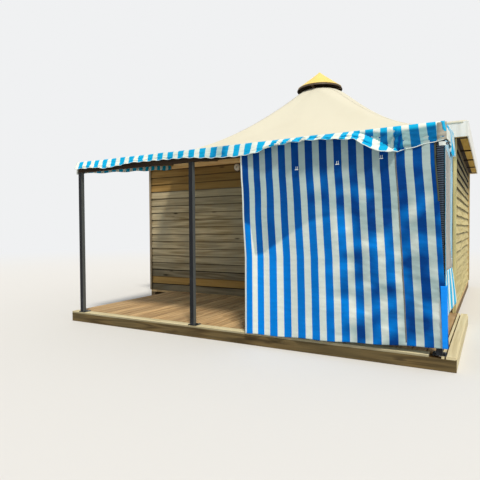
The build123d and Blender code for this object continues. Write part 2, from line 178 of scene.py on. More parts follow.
# %% [markdown]
# ## Making pieces
# Every piece is a mesh in the building's own frame, in metres. Its faces carry the flat cut of
# the board or cloth, in metres, so that grain and stripes follow each piece however it lies.
# Each piece rides with the building, and hides the solids it stands for.

# %% A mesh piece


def piece(name, points, faces, slot, finishes, cut, stands_for=(), tones=None, finish_of=None, smooth=False):
    """Make a mesh object and hand it to the frame."""
    mesh = bpy.data.meshes.new(name)
    mesh.from_pydata([tuple(point) for point in points], [], faces)
    layer = mesh.uv_layers.new(name="cut")
    for corner, spot in zip(layer.data, cut):
        corner.uv = spot
    if tones:
        tone = mesh.attributes.new("tone", "FLOAT", "FACE")
        tone.data.foreach_set("value", tones)
    for finish in finishes:
        mesh.materials.append(finish)
    if finish_of:
        mesh.polygons.foreach_set("material_index", finish_of)
    mesh.polygons.foreach_set("use_smooth", [smooth] * len(faces))
    mesh.update()
    made = bpy.data.objects.new(name, mesh)
    bpy.context.scene.collection.objects.link(made)
    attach(made, "root")
    if stands_for:
        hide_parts(*stands_for)
    return made


# %% Boards cut to length
# How many tones darker the dirt_and_shade_faces are: painted shade under a lap, and a darker border front
dirt_and_shade_step = 2.4
end_grain = 0.3


class Boards:
    """Boards gathered into one mesh, each with its own cut and its own tone."""

    def __init__(self, seed):
        self.chance = random.Random(seed)
        self.points, self.faces, self.cut, self.tones, self.finish_of = [], [], [], [], []
        self.count = 0

    def lay(self, start, along, side, lift, profile, length, wander=0.0, tone=None, finish=0, step=0.35,
            dirt_and_shade_faces=()):
        """One board: its profile, as (side, lift, share of the wander) points, carried along it.

        dirt_and_shade_faces gives the faces painted darker: shade under a lap board, and a deck border's
        front.
        """
        tone = self.chance.uniform(-1, 1) if tone is None else tone
        shift = (self.chance.uniform(0, 40), self.chance.uniform(0, 40))
        stations = max(1, round(length / step)) if wander else 1
        first, around = len(self.points), len(profile)
        # How far round the profile each of its corners is, for the flat cut
        reach = [0.0]
        for number in range(around):
            here, there = profile[number], profile[(number + 1) % around]
            reach.append(reach[-1] + math.hypot(there[0] - here[0], there[1] - here[1]))
        for station in range(stations + 1):
            far_along = length * station / stations
            # A long bend and a shorter, smaller one
            rise = wander * noise.noise(Vector((far_along * 1.7 + shift[0], shift[1], 0.5)))
            rise += wander * 0.4 * noise.noise(Vector((far_along * 6.1 + shift[0], shift[1], 3.5)))
            for across, height, share in profile:
                point = start + along * far_along + side * across + lift * (height + rise * share)
                self.points.append(point)
        for station in range(stations):
            for number in range(around):
                a = first + station * around + number
                b = first + station * around + (number + 1) % around
                self.faces.append((a, b, b + around, a + around))
                near, far_end = (length * (station + end) / stations + shift[0] for end in (0, 1))
                low, high = reach[number] + shift[1], reach[number + 1] + shift[1]
                self.cut += [(near, low), (near, high), (far_end, high), (far_end, low)]
                self.note(tone - dirt_and_shade_step if number in dirt_and_shade_faces else tone, finish)
        for end, order in ((0, -1), (stations, 1)):
            ring = [first + end * around + number for number in range(around)][::order]
            self.faces.append(tuple(ring))
            self.cut += [(shift[0] + 7 + p[0], shift[1] + p[1]) for p in profile][::order]
            self.note(tone - end_grain, finish)
        self.count += 1

    def note(self, tone, finish):
        """Write down a face's tone and finish."""
        self.tones.append(tone)
        self.finish_of.append(finish)

    def make(self, name, slot, finishes, stands_for=()):
        """Turn all boards laid so far into one piece."""
        made = piece(name, self.points, self.faces, slot, finishes, self.cut, stands_for,
                     self.tones, self.finish_of)
        print(name, "is made of", self.count, "boards")
        return made


# Faces painted darker as the shade under a lap, and the front of the deck's border
print("a face that rain never washes is", dirt_and_shade_step, "tones darker")

# %% The profile of a planed board
along_x, along_y, along_z = Vector((1, 0, 0)), Vector((0, 1, 0)), Vector((0, 0, 1))


def planed(width, height, worn=0.002):
    """A rectangle with worn corners, from (0, 0), which keeps straight as it is laid."""
    return [(worn, 0, 0), (width - worn, 0, 0), (width, worn, 0), (width, height - worn, 0),
            (width - worn, height, 0), (worn, height, 0), (0, height - worn, 0), (0, worn, 0)]


print("a planed board has", len(planed(0.1, 0.02)), "long faces, four of them worn edges")

# %% Smooth and broken lines


def ease(value, start=0.0, end=1.0):
    """0 before start, 1 after end, and a smooth rise between."""
    part = min(1.0, max(0.0, (value - start) / (end - start)))
    return part * part * (3 - 2 * part)


def line(points, value):
    """Straight pieces between (place, height) points, carried on past both ends."""
    for (x0, y0), (x1, y1) in zip(points, points[1:]):
        if value <= x1 or (x1, y1) == points[-1]:
            return y0 + (y1 - y0) * (value - x0) / (x1 - x0)


print("a quarter of the way along, the smooth rise is at", round(ease(0.25), 3))

# %% [markdown]
# ## Weathered timber
# The walls are feather-edge softwood boards, sawn and left to the weather: the soft early wood
# greys, the late wood stays as darker lines, and knots show as dark spots. The pattern could be a
# photo texture, but noise stretched along each board's own cut gives every board its own figure.

# %% Timber
knot_brown = "#2E2318"
tone_step = 0.22


def timber(name, pale, deep, aged, along="cut", knots=0.6, roughness=0.82, ageing=0.55, figure=34):
    """Sawn softwood: early wood, late wood and its aged colour. along is an axis, or the cut."""
    material, tree, surface = new_finish(name, roughness, skin=0.3)
    room = add(tree, "ShaderNodeTexCoord").outputs["Object"]
    if along == "cut":
        where = add(tree, "ShaderNodeUVMap", uv_map="cut").outputs["UV"]
    else:
        parts = add(tree, "ShaderNodeSeparateXYZ", {"Vector": room})
        order = {"X": "XYZ", "Y": "YZX", "Z": "ZXY"}[along]
        turned = {axis: parts.outputs[source] for axis, source in zip("XYZ", order)}
        where = add(tree, "ShaderNodeCombineXYZ", turned).outputs["Vector"]
    # Fibres are about 6 mm apart here, coarser than real ones, so that they show at this distance
    stretched = add(tree, "ShaderNodeMapping", {"Vector": where, "Scale": (2.0, 160.0, 160.0)})
    fibre = add(tree, "ShaderNodeTexNoise", {"Vector": stretched.outputs[0], "Scale": 1.0, "Detail": 4.0})
    stretched = add(tree, "ShaderNodeMapping", {"Vector": where, "Scale": (0.6, 9.0, 9.0)})
    slow = add(tree, "ShaderNodeTexNoise", {"Vector": stretched.outputs[0], "Scale": 1.0, "Detail": 1.5})
    wide = add(tree, "ShaderNodeMath", {0: slow.outputs[0], 1: float(figure)}, operation="MULTIPLY")
    rings = add(tree, "ShaderNodeMath", {0: wide.outputs[0]}, operation="SINE")
    rings = add(tree, "ShaderNodeMapRange", {"Value": rings.outputs[0], "From Min": -1.0, "To Max": 0.5})
    streak = add(tree, "ShaderNodeMapRange", {"Value": fibre.outputs[0], "From Min": 0.3, "From Max": 0.7,
                                              "To Max": 0.6})
    late = add(tree, "ShaderNodeMath", {0: rings.outputs[0], 1: streak.outputs[0]}, use_clamp=True)
    wood = add(tree, "ShaderNodeMix", {"Factor": late.outputs[0], "A": tint(pale), "B": tint(deep)},
               data_type="RGBA")
    patch = add(tree, "ShaderNodeTexNoise", {"Vector": room, "Scale": 1.7, "Detail": 4.0, "Roughness": 0.65})
    grey = add(tree, "ShaderNodeMapRange", {"Value": patch.outputs[0], "From Min": 0.38, "From Max": 0.68,
                                            "To Max": float(ageing)})
    wood = add(tree, "ShaderNodeMix", {"Factor": grey.outputs[0], "A": wood.outputs["Result"],
                                       "B": tint(aged)}, data_type="RGBA")
    spread = add(tree, "ShaderNodeMapping", {"Vector": where, "Scale": (1.5, 6.0, 6.0)})
    spots = add(tree, "ShaderNodeTexVoronoi", {"Vector": spread.outputs[0], "Scale": 1.0})
    knot = add(tree, "ShaderNodeMapRange", {"Value": spots.outputs["Distance"], "From Min": 0.05,
                                            "From Max": 0.13, "To Min": float(knots), "To Max": 0.0})
    wood = add(tree, "ShaderNodeMix", {"Factor": knot.outputs[0], "A": wood.outputs["Result"],
                                       "B": tint(knot_brown)}, data_type="RGBA")
    tone = add(tree, "ShaderNodeAttribute", attribute_name="tone")
    level = add(tree, "ShaderNodeMath", {0: tone.outputs["Fac"], 1: tone_step, 2: 1.0},
                operation="MULTIPLY_ADD")
    shade = add(tree, "ShaderNodeHueSaturation", {"Color": wood.outputs["Result"], "Value": level.outputs[0]})
    tree.links.new(shade.outputs[0], surface.inputs["Base Color"])
    relief = add(tree, "ShaderNodeBump", {"Height": late.outputs[0], "Strength": 0.5, "Distance": 0.0012})
    tree.links.new(relief.outputs[0], surface.inputs["Normal"])
    return material


print("one tone is", round(tone_step * 100), "per cent of a board's value")

# %% Timber finishes, one for each kind, place and age of the wood
# Sawn softwood in the weather: grey-brown with dark late wood, and quite without gloss
wall_boards = timber("sawn_softwood_weathered", "#D0BF99", "#786641", "#979079", knots=0.9, figure=22,
                     ageing=0.75)
# The same boards, golden and darker: painted shade up under the awning, and one golden board low down
golden_boards_and_shade = timber("sawn_softwood_golden_painted_shade", "#A3824A", "#7C5E2E", "#8F7648", knots=0.7, figure=22)
# The same boards on the sunny side: bleached to straw, and paler still as painted sunlight
side_boards_painted_sun = timber("sawn_softwood_bleached_painted_sun", "#D6C993", "#A39562", "#BCB287", knots=0.75, figure=22)
# Planed spruce indoors: pale and even
lining_boards = timber("planed_spruce_lining", "#D8BB8B", "#C09A62", "#C8AC80", ageing=0.3)
# Trims with sawn faces: a duller and cooler brown than the boards they close
trim_boards = timber("sawn_softwood_trim", "#9A8B72", "#6F6049", "#827A6B", knots=0.3)
# Larch decking: warm brown with a strong figure
deck_boards = timber("larch_decking_weathered", "#DAB887", "#9C7A52", "#B59C78", knots=0.5, figure=26)
# Larch bleached to cream and paler still as painted sunlight, so the deck's rim and right edge shine out
bleached_boards_painted_sun = timber("larch_decking_bleached_painted_sun", "#E4D9B2", "#BDAE84", "#D0C5A2", knots=0.4, figure=26)
# Softwood low down, where it stays wet: the darkest timber that shows
edge_boards = timber("softwood_fascia_weathered", "#7D6944", "#382C19", "#5F5439", knots=0.6, ageing=0.7)
# Pressure-treated frame timber: a flat brown that is hardly seen
hidden_timber = timber("treated_softwood", "#8B7658", "#6A563C", "#75684F", along="Y")
# Varnished birch plywood: golden and even, with few knots
soffit_panels = timber("birch_plywood_varnished", "#C6A44E", "#AA873A", "#B49850", knots=0.15, ageing=0.4)
# Sawn spruce under a roof: fresh and warm, as neither sun nor rain reaches it
roof_timber = timber("sawn_spruce_rafter", "#C79F6A", "#A77C48", "#A88C66", along="Z", knots=0.4)
beam_timber = timber("sawn_spruce_beam", "#B98C56", "#8F6638", "#8F7650", along="X", knots=0.5)
# Stained softwood, nearly black, to draw lines between the plywood panels, and painted shade on the soffit
dark_battens_and_shade = timber("stained_batten_and_painted_shade", "#3C2D1A", "#20160C", "#2E2212", along="Y", knots=0.2)
# Planed spruce: bright, where light through the canopy falls on the ledger
ledger_timber = timber("planed_spruce_ledger", "#EBC48A", "#CF9E62", "#D8B27C", along="X", knots=0.3,
                       ageing=0.3)
# Stained softwood and painted shade under the awning: a dark beam that recedes behind the bright valance
dark_beam_and_shade = timber("dark_softwood_beam_painted_shade", "#3E2F20", "#231910", "#33281C", along="X", knots=0.2)
print("timber finishes ready")

# %% [markdown]
# ## Walls
# A wall is lap boards outside, a frame, and a lining inside. The outer boards are modelled one by
# one: each is thicker at its foot and laps over the board below, which with painted shade under each
# lap gives the dark lines that the eye reads as lap boards. Their sawn lower edges wander by a few
# millimetres. One mesh for each wall replaces its solid.

# %% The cabin's main places
plate_low, plate_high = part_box("wall_plate")
lintel_low, lintel_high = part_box("front_wall_lintel")
wall_side, wall_front, wall_back = plate_high.x, plate_low.y, plate_high.y
wall_foot, wall_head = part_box("back_wall")[0].z, lintel_high.z
cabin_middle = (wall_front + wall_back) / 2
exposure, lap = 0.145, 0.025
longest_board = 4.2
end_gap = 0.001
print("walls from", round(wall_foot, 3), "to", round(wall_head, 3), "m, boards every", exposure)

# %% Lap boards for one wall


def lap_wall(boards, start, along, outward, runs, wander, tones=None, golden_rows=(), ledge=0.0168,
             shade_strip=0.019):
    """Rows of feather-edge boards. runs gives the lengths covered at a height, from the start.

    ledge is how far each board leans in from its foot to the next board's lap, and shade_strip how
    tall the strip under that lap is, which is painted darker as the shade under the lap.
    """
    row, foot = 0, wall_foot
    while foot < wall_head - 0.01:
        tall = min(exposure + lap, wall_head - foot)
        under_lap = exposure - shade_strip
        head = max(tall, under_lap + 0.002)
        profile = [(-ledge + 0.0008, 0, 1), (-0.003, 0, 1), (-0.001, 0.003, 1),
                   (-0.001 - ledge, under_lap, 0.4), (-0.0018 - ledge, head, 0), (-0.0251, head, 0)]
        finish = 3 if row in golden_rows else 0
        for near, far_end in runs(foot + exposure / 2):
            joints = [near, far_end]
            if far_end - near > longest_board:
                joints.insert(1, near + boards.chance.uniform(0.35, 0.65) * (far_end - near))
            for left, right_end in zip(joints, joints[1:]):
                tone = None if tones is None else tones(row) + boards.chance.uniform(-0.35, 0.35)
                boards.lay(start + along * (left + end_gap) + along_z * foot, along, outward, along_z,
                           profile, right_end - left - 2 * end_gap, wander, tone, finish, step=0.16,
                           dirt_and_shade_faces=(0, 3))
        foot += exposure
        row += 1


print("boards over", longest_board, "m are joined from two")

# %% The frame and the lining behind the lap boards
core_set, core_thick, wall_thick = 0.058, 0.0325, 0.07
lining_wide, lining_thick = 0.12, 0.012


def wall_core(boards, start, along, outward, runs_low_high):
    """The frame as one planed panel for each run, and boards of lining on its inner side."""
    for near, far_end, low, high in runs_low_high:
        core = start + along * near + along_z * low - outward * core_set
        boards.lay(core, along, outward, along_z, planed(core_thick, high - low, 0.0005), far_end - near,
                   finish=1)
        height = low
        while height < high - 0.005:
            tall = min(lining_wide, high - height)
            inner = start + along * near + along_z * height - outward * wall_thick
            boards.lay(inner, along, outward, along_z, planed(lining_thick, tall - 0.0015, 0.0015),
                       far_end - near, finish=2)
            height += lining_wide


print("walls are", round(wall_thick * 1000), "mm thick")


# %% Front wall, round its doorway
front = Boards(11)
start = Vector((-wall_side, wall_front, 0))
door_left, door_right, door_top = lintel_low.x + wall_side, lintel_high.x + wall_side, lintel_low.z
width = 2 * wall_side


def front_runs(height):
    """The front wall's boards stop at the doorway."""
    if height < door_top:
        return [(end_gap, door_left), (door_right, width - end_gap)]
    return [(end_gap, width - end_gap)]


def front_tones_and_shade(row):
    """A dark foot, a golden board and two darker boards above it; higher up, painted shade under the awning.
    """
    return {0: -2.2, 1: 1.7, 2: -1.8, 3: -1.0}.get(row, (0.25 if row % 3 else -0.35) - 0.10 * max(0, row - 9))


# Rows in golden_rows take the golden finish: row 1, and the rows up under the awning as painted shade
lap_wall(front, start, along_x, -along_y, front_runs, 0.004, front_tones_and_shade,
         golden_rows=(1, *range(14, 30)))
wall_core(front, start, along_x, -along_y, [
    (end_gap, door_left, wall_foot, wall_head), (door_right, width - end_gap, wall_foot, wall_head),
    (door_left, door_right, door_top, wall_head)])
front.make("front_wall", "wall_timber", [wall_boards, hidden_timber, lining_boards, golden_boards_and_shade],
           ("front_wall_left", "front_wall_right", "front_wall_lintel"))

# %% Back and side walls
depth = wall_back - wall_front
back = Boards(12)
start = Vector((-wall_side, wall_back, 0))
lap_wall(back, start, along_x, along_y, lambda height: [(end_gap, width - end_gap)], 0.005)
wall_core(back, start, along_x, along_y, [(end_gap, width - end_gap, wall_foot, wall_head)])
back.make("back_wall_boards", "wall_timber", [wall_boards, hidden_timber, lining_boards], ("back_wall",))


def side_painted_eaves_shadow(row):
    """Painted shadow of the eaves: the upper boards of the side walls are painted darker."""
    return 0.3 - 3.2 * ease(row, 10.5, 16)


for name, edge, outward, seed in (("left", -wall_side, -along_x, 13), ("right", wall_side, along_x, 14)):
    side = Boards(seed)
    start = Vector((edge, wall_front, 0))
    lap_wall(side, start, along_y, outward, lambda height: [(0.027, depth - 0.027)], 0.016, side_painted_eaves_shadow,
             ledge=0.0215, shade_strip=0.026)
    wall_core(side, start, along_y, outward, [(0.071, depth - 0.071, wall_foot, wall_head)])
    outer = side_boards_painted_sun if name == "right" else wall_boards
    side.make(f"{name}_wall_boards", "wall_timber", [outer, hidden_timber, lining_boards], (f"{name}_wall",))

# %% [markdown]
# ## Trims, plate and doorway
# Two thin boards close each corner, a plate ties the walls together under the eaves, and a lining
# goes round the doorway. These are plain planed boards, so each is laid as one board with worn
# edges in place of its solid.

# %% Corner trims
trims = Boards(15)
trim_low, trim_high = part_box("corner_trims")
trim_thick, trim_wide = trim_high.x - wall_side, 0.045
for side_x in (-1, 1):
    for side_y, face in ((-1, trim_low.y), (1, trim_high.y)):
        corner = Vector((side_x * trim_high.x, face, trim_low.z))
        tall = trim_high.z - trim_low.z
        trims.lay(corner, along_z, -side_x * along_x, -side_y * along_y,
                  planed(trim_wide, trim_thick - 0.0005), tall, 0.0015, tone=0.4, finish=int(side_x > 0))
        trims.lay(corner - side_y * along_y * trim_thick, along_z, -side_x * along_x, -side_y * along_y,
                  planed(trim_thick - 0.0005, trim_wide - trim_thick), tall, 0.0015, tone=0.2,
                  finish=int(side_x > 0))
trims.make("corner_trim_boards", "trim_timber", [trim_boards, side_boards_painted_sun], ("corner_trims",))

# %% Wall plate and door lining
plate = Boards(16)
thick, tall = wall_thick, plate_high.z - plate_low.z
for y in (plate_low.y, plate_high.y - thick):
    plate.lay(Vector((plate_low.x, y, plate_low.z)), along_x, along_y, along_z, planed(thick, tall), width)
for x in (plate_low.x, plate_high.x - thick):
    plate.lay(Vector((x, plate_low.y + thick, plate_low.z)), along_y, along_x, along_z, planed(thick, tall),
              depth - 2 * thick)
plate.make("wall_plate_timbers", "trim_timber", [edge_boards], ("wall_plate",))

lining = Boards(17)
low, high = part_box("door_frame")
thick = 0.04
for x in (low.x, high.x - thick):
    lining.lay(Vector((x, low.y, low.z)), along_z, along_x, along_y, planed(thick, high.y - low.y),
               high.z - low.z - thick)
lining.lay(Vector((low.x, low.y, high.z - thick)), along_x, along_y, along_z, planed(high.y - low.y, thick),
           high.x - low.x)
lining.make("door_lining", "trim_timber", [lining_boards], ("door_frame",))

# %% [markdown]
# ## Floor, deck and fascias
# The deck boards run from the cabin to the front, with one border board along the front edge and
# gaps of a few millimetres for the rain. Each board sits a hair higher or lower than the next, as
# real ones do. The fascia under them is the oldest and darkest timber.

# %% Deck boards
deck_low, deck_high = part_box("terrace_deck")
deck = Boards(21)
thick = deck_high.z - deck_low.z
border, board_wide, last_board = 0.12, 0.145, 0.1
# The boards beside the cabin run right to the front, past the end of the border board
edge_run = 0.25
deck.lay(Vector((deck_low.x, deck_low.y, deck_low.z)), along_x, along_y, along_z,
         planed(border, thick, 0.004), deck_high.x - deck_low.x - edge_run, tone=0.2, finish=1, dirt_and_shade_faces=(6, 7))
place = deck_low.x
while place < deck_high.x - 0.02:
    to_last = deck_high.x - last_board - place
    if to_last > 0.02:
        wide = min(board_wide, to_last)
    else:
        wide = deck_high.x - place
    edge_board = place > deck_high.x - edge_run + 0.001
    near = deck_low.y if edge_board else deck_low.y + border + 0.004
    drop = deck.chance.uniform(0, 0.0025)
    gap = 0.014 if to_last < 2 * last_board else 0.010
    deck.lay(Vector((place + gap / 2, near, deck_low.z)), along_y, along_x, along_z,
             planed(wide - gap, thick - drop, 0.003), deck_high.y - near,
             tone=0.4 if edge_board else None, finish=int(edge_board))
    place += wide
deck.make("deck_boards", "deck_timber", [deck_boards, bleached_boards_painted_sun], ("terrace_deck",))

# %% Fascia boards round the deck
fascia = Boards(22)
for name, along in (("terrace_front_fascia", along_x), ("terrace_left_fascia", along_y),
                    ("terrace_right_fascia", along_y)):
    low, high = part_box(name)
    side = along_y if along is along_x else along_x
    size = high - low
    fascia.lay(low, along, side, along_z, planed(size.dot(side), size.z, 0.004), size.dot(along),
               tone=-0.2, finish=int(name == "terrace_right_fascia"))
fascia.make("deck_fascias", "base_timber", [edge_boards, bleached_boards_painted_sun],
            ("terrace_front_fascia", "terrace_left_fascia", "terrace_right_fascia"))

# %% The cabin's floor
low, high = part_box("cabin_floor")
floorboards = Boards(23)
floorboard_wide = 0.14
place = low.x
while place < high.x - 0.01:
    wide = min(floorboard_wide, high.x - place)
    floorboards.lay(Vector((place, low.y, low.z)), along_y, along_x, along_z,
                    planed(wide - 0.001, high.z - low.z, 0.001), high.y - low.y)
    place += wide
floorboards.make("floor_boards", "floor_timber", [lining_boards], ("cabin_floor",))

# %% [markdown]
# ## Timbers that keep their solids
# Bearers, joists, rafters, beams and battens are plain timbers whose solids already have the right
# shape. They only get a finish, with the grain along the way they run.

# %% Finishes on carried-over solids


def dress(finish, *nodes):
    """Give carried-over solids a finish."""
    for name in nodes:
        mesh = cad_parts[name].data
        mesh.materials.clear()
        mesh.materials.append(finish)
    print("dressed", ", ".join(nodes))


dress(hidden_timber, "cabin_bearers")
dress(beam_timber, "terrace_joists")
dress(dark_beam_and_shade, "front_beam")
dress(ledger_timber, "awning_ledger")
dress(roof_timber, "hip_rafters", "side_rafters")
dress(hidden_timber, "awning_rafters", "eaves_rim")
dress(dark_battens_and_shade, "soffit_battens")

# %% [markdown]
# ## Eaves
# Golden plywood closes the eaves from below, in panels that meet over dark battens. A white
# fascia of folded sheet goes round the edge. It is modelled in lengths with a small gap and
# a rounded lower lip, because those joints catch the eye at the corner nearest the camera.

# %% Soffit panels
low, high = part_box("eaves_soffit")
soffit = Boards(31)
fascia_thick = 0.012
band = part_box("eaves_fascia")[1].x - fascia_thick - wall_side + wall_thick
thick = high.z - low.z
bays = 4
# The soffit's strip nearest the wall is dark, a batten with painted shade of the eaves, and the outer one
# golden
inner = 0.13
outside_first = ((0, band - inner, 0), (band - inner, inner, 1))
inside_first = ((0, inner, 1), (inner, band - inner, 0))
for number, strips in enumerate((outside_first, inside_first, outside_first, inside_first)):
    across = number < 2
    length = high.x - low.x if across else high.y - low.y - 2 * band
    edge = (low.y, high.y - band, low.x, high.x - band)[number]
    for bay in range(bays):
        near = bay * length / bays + 0.001
        for offset, wide, finish in strips:
            if across:
                corner, along, side = Vector((low.x + near, edge + offset, low.z)), along_x, along_y
            else:
                corner, along, side = Vector((edge + offset, low.y + band + near, low.z)), along_y, along_x
            tone = soffit.chance.uniform(-0.4, 0.4)
            soffit.lay(corner, along, side, along_z, planed(wide - 0.001, thick, 0.001),
                       length / bays - 0.002, tone=tone, finish=finish)
soffit.make("soffit_panels", "soffit_ply", [soffit_panels, dark_battens_and_shade], ("eaves_soffit",))

# %% White fascia finish: PVC-coated sheet, moulded smooth, with dust that rain has run down it
fascia_finish, tree, surface = new_finish("pvc_fascia_sheet", 0.45)
place = add(tree, "ShaderNodeTexCoord")
runs = add(tree, "ShaderNodeMapping", {"Vector": place.outputs["Object"], "Scale": (14.0, 14.0, 1.2)})
dust = add(tree, "ShaderNodeTexNoise", {"Vector": runs.outputs[0], "Scale": 1.0, "Detail": 5.0})
much = add(tree, "ShaderNodeMapRange", {"Value": dust.outputs[0], "From Min": 0.42, "From Max": 0.75,
                                        "To Max": 0.6})
mixed = add(tree, "ShaderNodeMix", {"Factor": much.outputs[0], "A": tint("#E9EAE4"), "B": tint("#B9B6A6")},
            data_type="RGBA")
tree.links.new(mixed.outputs["Result"], surface.inputs["Base Color"])

# %% Fascia lengths
low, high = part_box("eaves_fascia")
edging = Boards(32)
tall = high.z - low.z
gap = 0.0015
lip = [(0, 0.004, 0), (0.003, 0, 0), (fascia_thick + 0.004, 0, 0), (fascia_thick + 0.004, 0.004, 0),
       (fascia_thick, 0.007, 0), (fascia_thick, tall - 0.001, 0), (0.001, tall - 0.001, 0),
       (0, tall - 0.004, 0)]
for y, inward in ((low.y, along_y), (high.y, -along_y)):
    for bay in range(2):
        size = (high.x - low.x) / 2
        edging.lay(Vector((low.x + bay * size, y, low.z)), along_x, inward, along_z, lip, size - gap)
for x, inward in ((low.x, along_x), (high.x, -along_x)):
    for bay in range(2):
        size = (high.y - low.y - 2 * fascia_thick) / 2
        corner = Vector((x, low.y + fascia_thick + bay * size, low.z))
        edging.lay(corner, along_y, inward, along_z, lip, size - gap)
edging.make("fascia_lengths", "white_fascia", [fascia_finish], ("eaves_fascia",))

# %% [markdown]
# ## The canvas roof
# The roof is PVC-coated canvas, welded from panels and pulled down tight from a round neck to
# the rectangular eaves. Flat panels would show folds that the real one doesn't have, so it is one
# continuous mesh: rounded rectangles that widen on a falling power curve, with the cloth sinking
# a little between the rafters. The wind fills its right side, whose outline is straighter in the
# photo. Hems and welded seams are strips of their own.

# %% Canvas finish: plain-woven polyester coated with cream PVC, half matt and a little chalky
canvas_finish, tree, surface = new_finish("pvc_coated_canvas_cream", 0.62, skin=0.6)
place = add(tree, "ShaderNodeTexCoord")
stain = add(tree, "ShaderNodeTexNoise", {"Vector": place.outputs["Object"], "Scale": 1.1, "Detail": 5.0})
much = add(tree, "ShaderNodeMapRange", {"Value": stain.outputs[0], "From Min": 0.45, "From Max": 0.75,
                                        "To Max": 0.4})
mixed = add(tree, "ShaderNodeMix", {"Factor": much.outputs[0], "A": tint("#D9D4BF"), "B": tint("#CDC6AE")},
            data_type="RGBA")
tree.links.new(mixed.outputs["Result"], surface.inputs["Base Color"])
# The weave is 1 mm in the real cloth and 5 mm here, so that some of it shows
weave = add(tree, "ShaderNodeTexNoise", {"Vector": place.outputs["Object"], "Scale": 200.0, "Detail": 1.0})
relief = add(tree, "ShaderNodeBump", {"Height": weave.outputs[0], "Strength": 0.12, "Distance": 0.001})
tree.links.new(relief.outputs[0], surface.inputs["Normal"])

# %% The roof's shape
neck_radius, neck_height, sweep = 0.4, 4.4, 1.85
eaves_low, eaves_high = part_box("roof_canvas_front")
half_width, half_depth = eaves_high.x, cabin_middle - eaves_low.y
eaves_top = eaves_low.z + 0.008
corner_round = 0.07
straight_part = 0.44
sink_depth, crease_depth, wind_fill = 0.016, 0.004, 0.15


def roof_point(share, around, lift=0.0):
    """A point of the canvas: share from neck to eaves, around in quarters from the middle of +X."""
    wide = neck_radius + (half_width - neck_radius) * share
    deep = neck_radius + (half_depth - neck_radius) * share
    bend = neck_radius * 0.98 + (corner_round - neck_radius * 0.98) * share
    quarter, part = int(around) % 4, around % 1
    first, second = (wide, deep) if quarter % 2 == 0 else (deep, wide)
    if part < straight_part:
        spot = (first, (second - bend) * part / straight_part)
    elif part > 1 - straight_part:
        spot = ((first - bend) * (1 - part) / straight_part, second)
    else:
        angle = (part - straight_part) / (1 - 2 * straight_part) * math.pi / 2
        spot = (first - bend + bend * math.cos(angle), second - bend + bend * math.sin(angle))
    turned = quarter * math.pi / 2
    x = spot[0] * math.cos(turned) - spot[1] * math.sin(turned)
    y = spot[0] * math.sin(turned) + spot[1] * math.cos(turned)
    sink = sink_depth * math.sin(math.pi * min(1, max(0, share))) * math.sin(2 * math.pi * part) ** 2
    crease = crease_depth * noise.noise(Vector((x * 1.6, y * 1.6, 0)))
    z = eaves_top + (neck_height - eaves_top) * max(0, 1 - share) ** sweep
    leeward = max(0.0, math.cos(around * math.pi / 2 + 0.4))
    z += wind_fill * leeward * (1 - math.exp(-share / 0.1)) * max(0.0, 1 - share) ** 1.6
    return Vector((x, cabin_middle + y, z - sink - abs(crease) * (1 - share) * share * 4 + lift))


print("roof from", round(eaves_top, 3), "m at the eaves to", neck_height, "m at the neck")

# %% The canvas itself
rings, columns = 44, 160
points, faces, cut = [], [], []
for ring in range(rings + 1):
    for column in range(columns):
        points.append(roof_point(ring / rings, 4 * column / columns))
for ring in range(rings):
    for column in range(columns):
        after = (column + 1) % columns
        base, below = ring * columns, (ring + 1) * columns
        faces.append((base + column, below + column, below + after, base + after))
        near, far_end = column / columns * 4, (column + 1) / columns * 4
        cut += [(near, ring / rings), (near, (ring + 1) / rings), (far_end, (ring + 1) / rings),
                (far_end, ring / rings)]
canvas = piece("canvas_roof", points, faces, "roof_canvas", [canvas_finish], cut,
               [f"roof_canvas_{side}" for side in ("front", "back", "left", "right")], smooth=True)
thickness = canvas.modifiers.new("thickness", "SOLIDIFY")
thickness.thickness = 0.002
thickness.offset = -1

# %% A ribbon of cloth


def strip(name, spots, across, slot, finish, thick, stands_for=()):
    """A ribbon of cloth: spots are pairs of points across it, given along its length."""
    points = [point for pair in spots for point in pair]
    faces = [(2 * n, 2 * n + 1, 2 * n + 3, 2 * n + 2) for n in range(len(spots) - 1)]
    run, cut = 0.0, []
    for n in range(len(spots) - 1):
        step = (spots[n + 1][0] - spots[n][0]).length
        cut += [(run, 0), (run, across), (run + step, across), (run + step, 0)]
        run += step
    made = piece(name, points, faces, slot, [finish], cut, stands_for, smooth=True)
    solid = made.modifiers.new("thickness", "SOLIDIFY")
    solid.thickness = thick
    solid.offset = 0
    print(name, "is", round(run, 2), "m long")
    return made


# %% Hem over the fascia, and welded seams
hem_steps, seam_steps, seams = 240, 40, []
near_edge = 0.03
spots = []
for step in range(hem_steps + 1):
    around = 4 * (step % hem_steps) / hem_steps
    edge_point = roof_point(1.0, around)
    from_middle = (edge_point.x, edge_point.y - cabin_middle)
    out = Vector([math.copysign(1, reach) if abs(reach) > half - near_edge else 0
                  for reach, half in zip(from_middle, (half_width, half_depth))] + [0]).normalized()
    wave = 0.004 * noise.noise(edge_point * 3.1)
    spots.append((edge_point + out * 0.002 + along_z * (0.004 + wave * 0.5),
                  edge_point + out * 0.004 - along_z * (0.034 + 1.5 * wave)))
roof_hem = strip("canvas_hem", spots, 0.04, "roof_canvas", canvas_finish, 0.003)
for number in range(4):
    spots = []
    for step in range(seam_steps + 1):
        share = 0.01 + 0.98 * step / seam_steps
        half = 0.0035 / (0.4 + 2.4 * share)
        centre = number + 0.5
        spots.append((roof_point(share, centre - half, 0.0010), roof_point(share, centre + half, 0.0010)))
    seams.append(strip(f"canvas_seam_{number}", spots, 0.02, "roof_canvas", canvas_finish, 0.0006))
print("one hem and", len(seams), "welded seams")

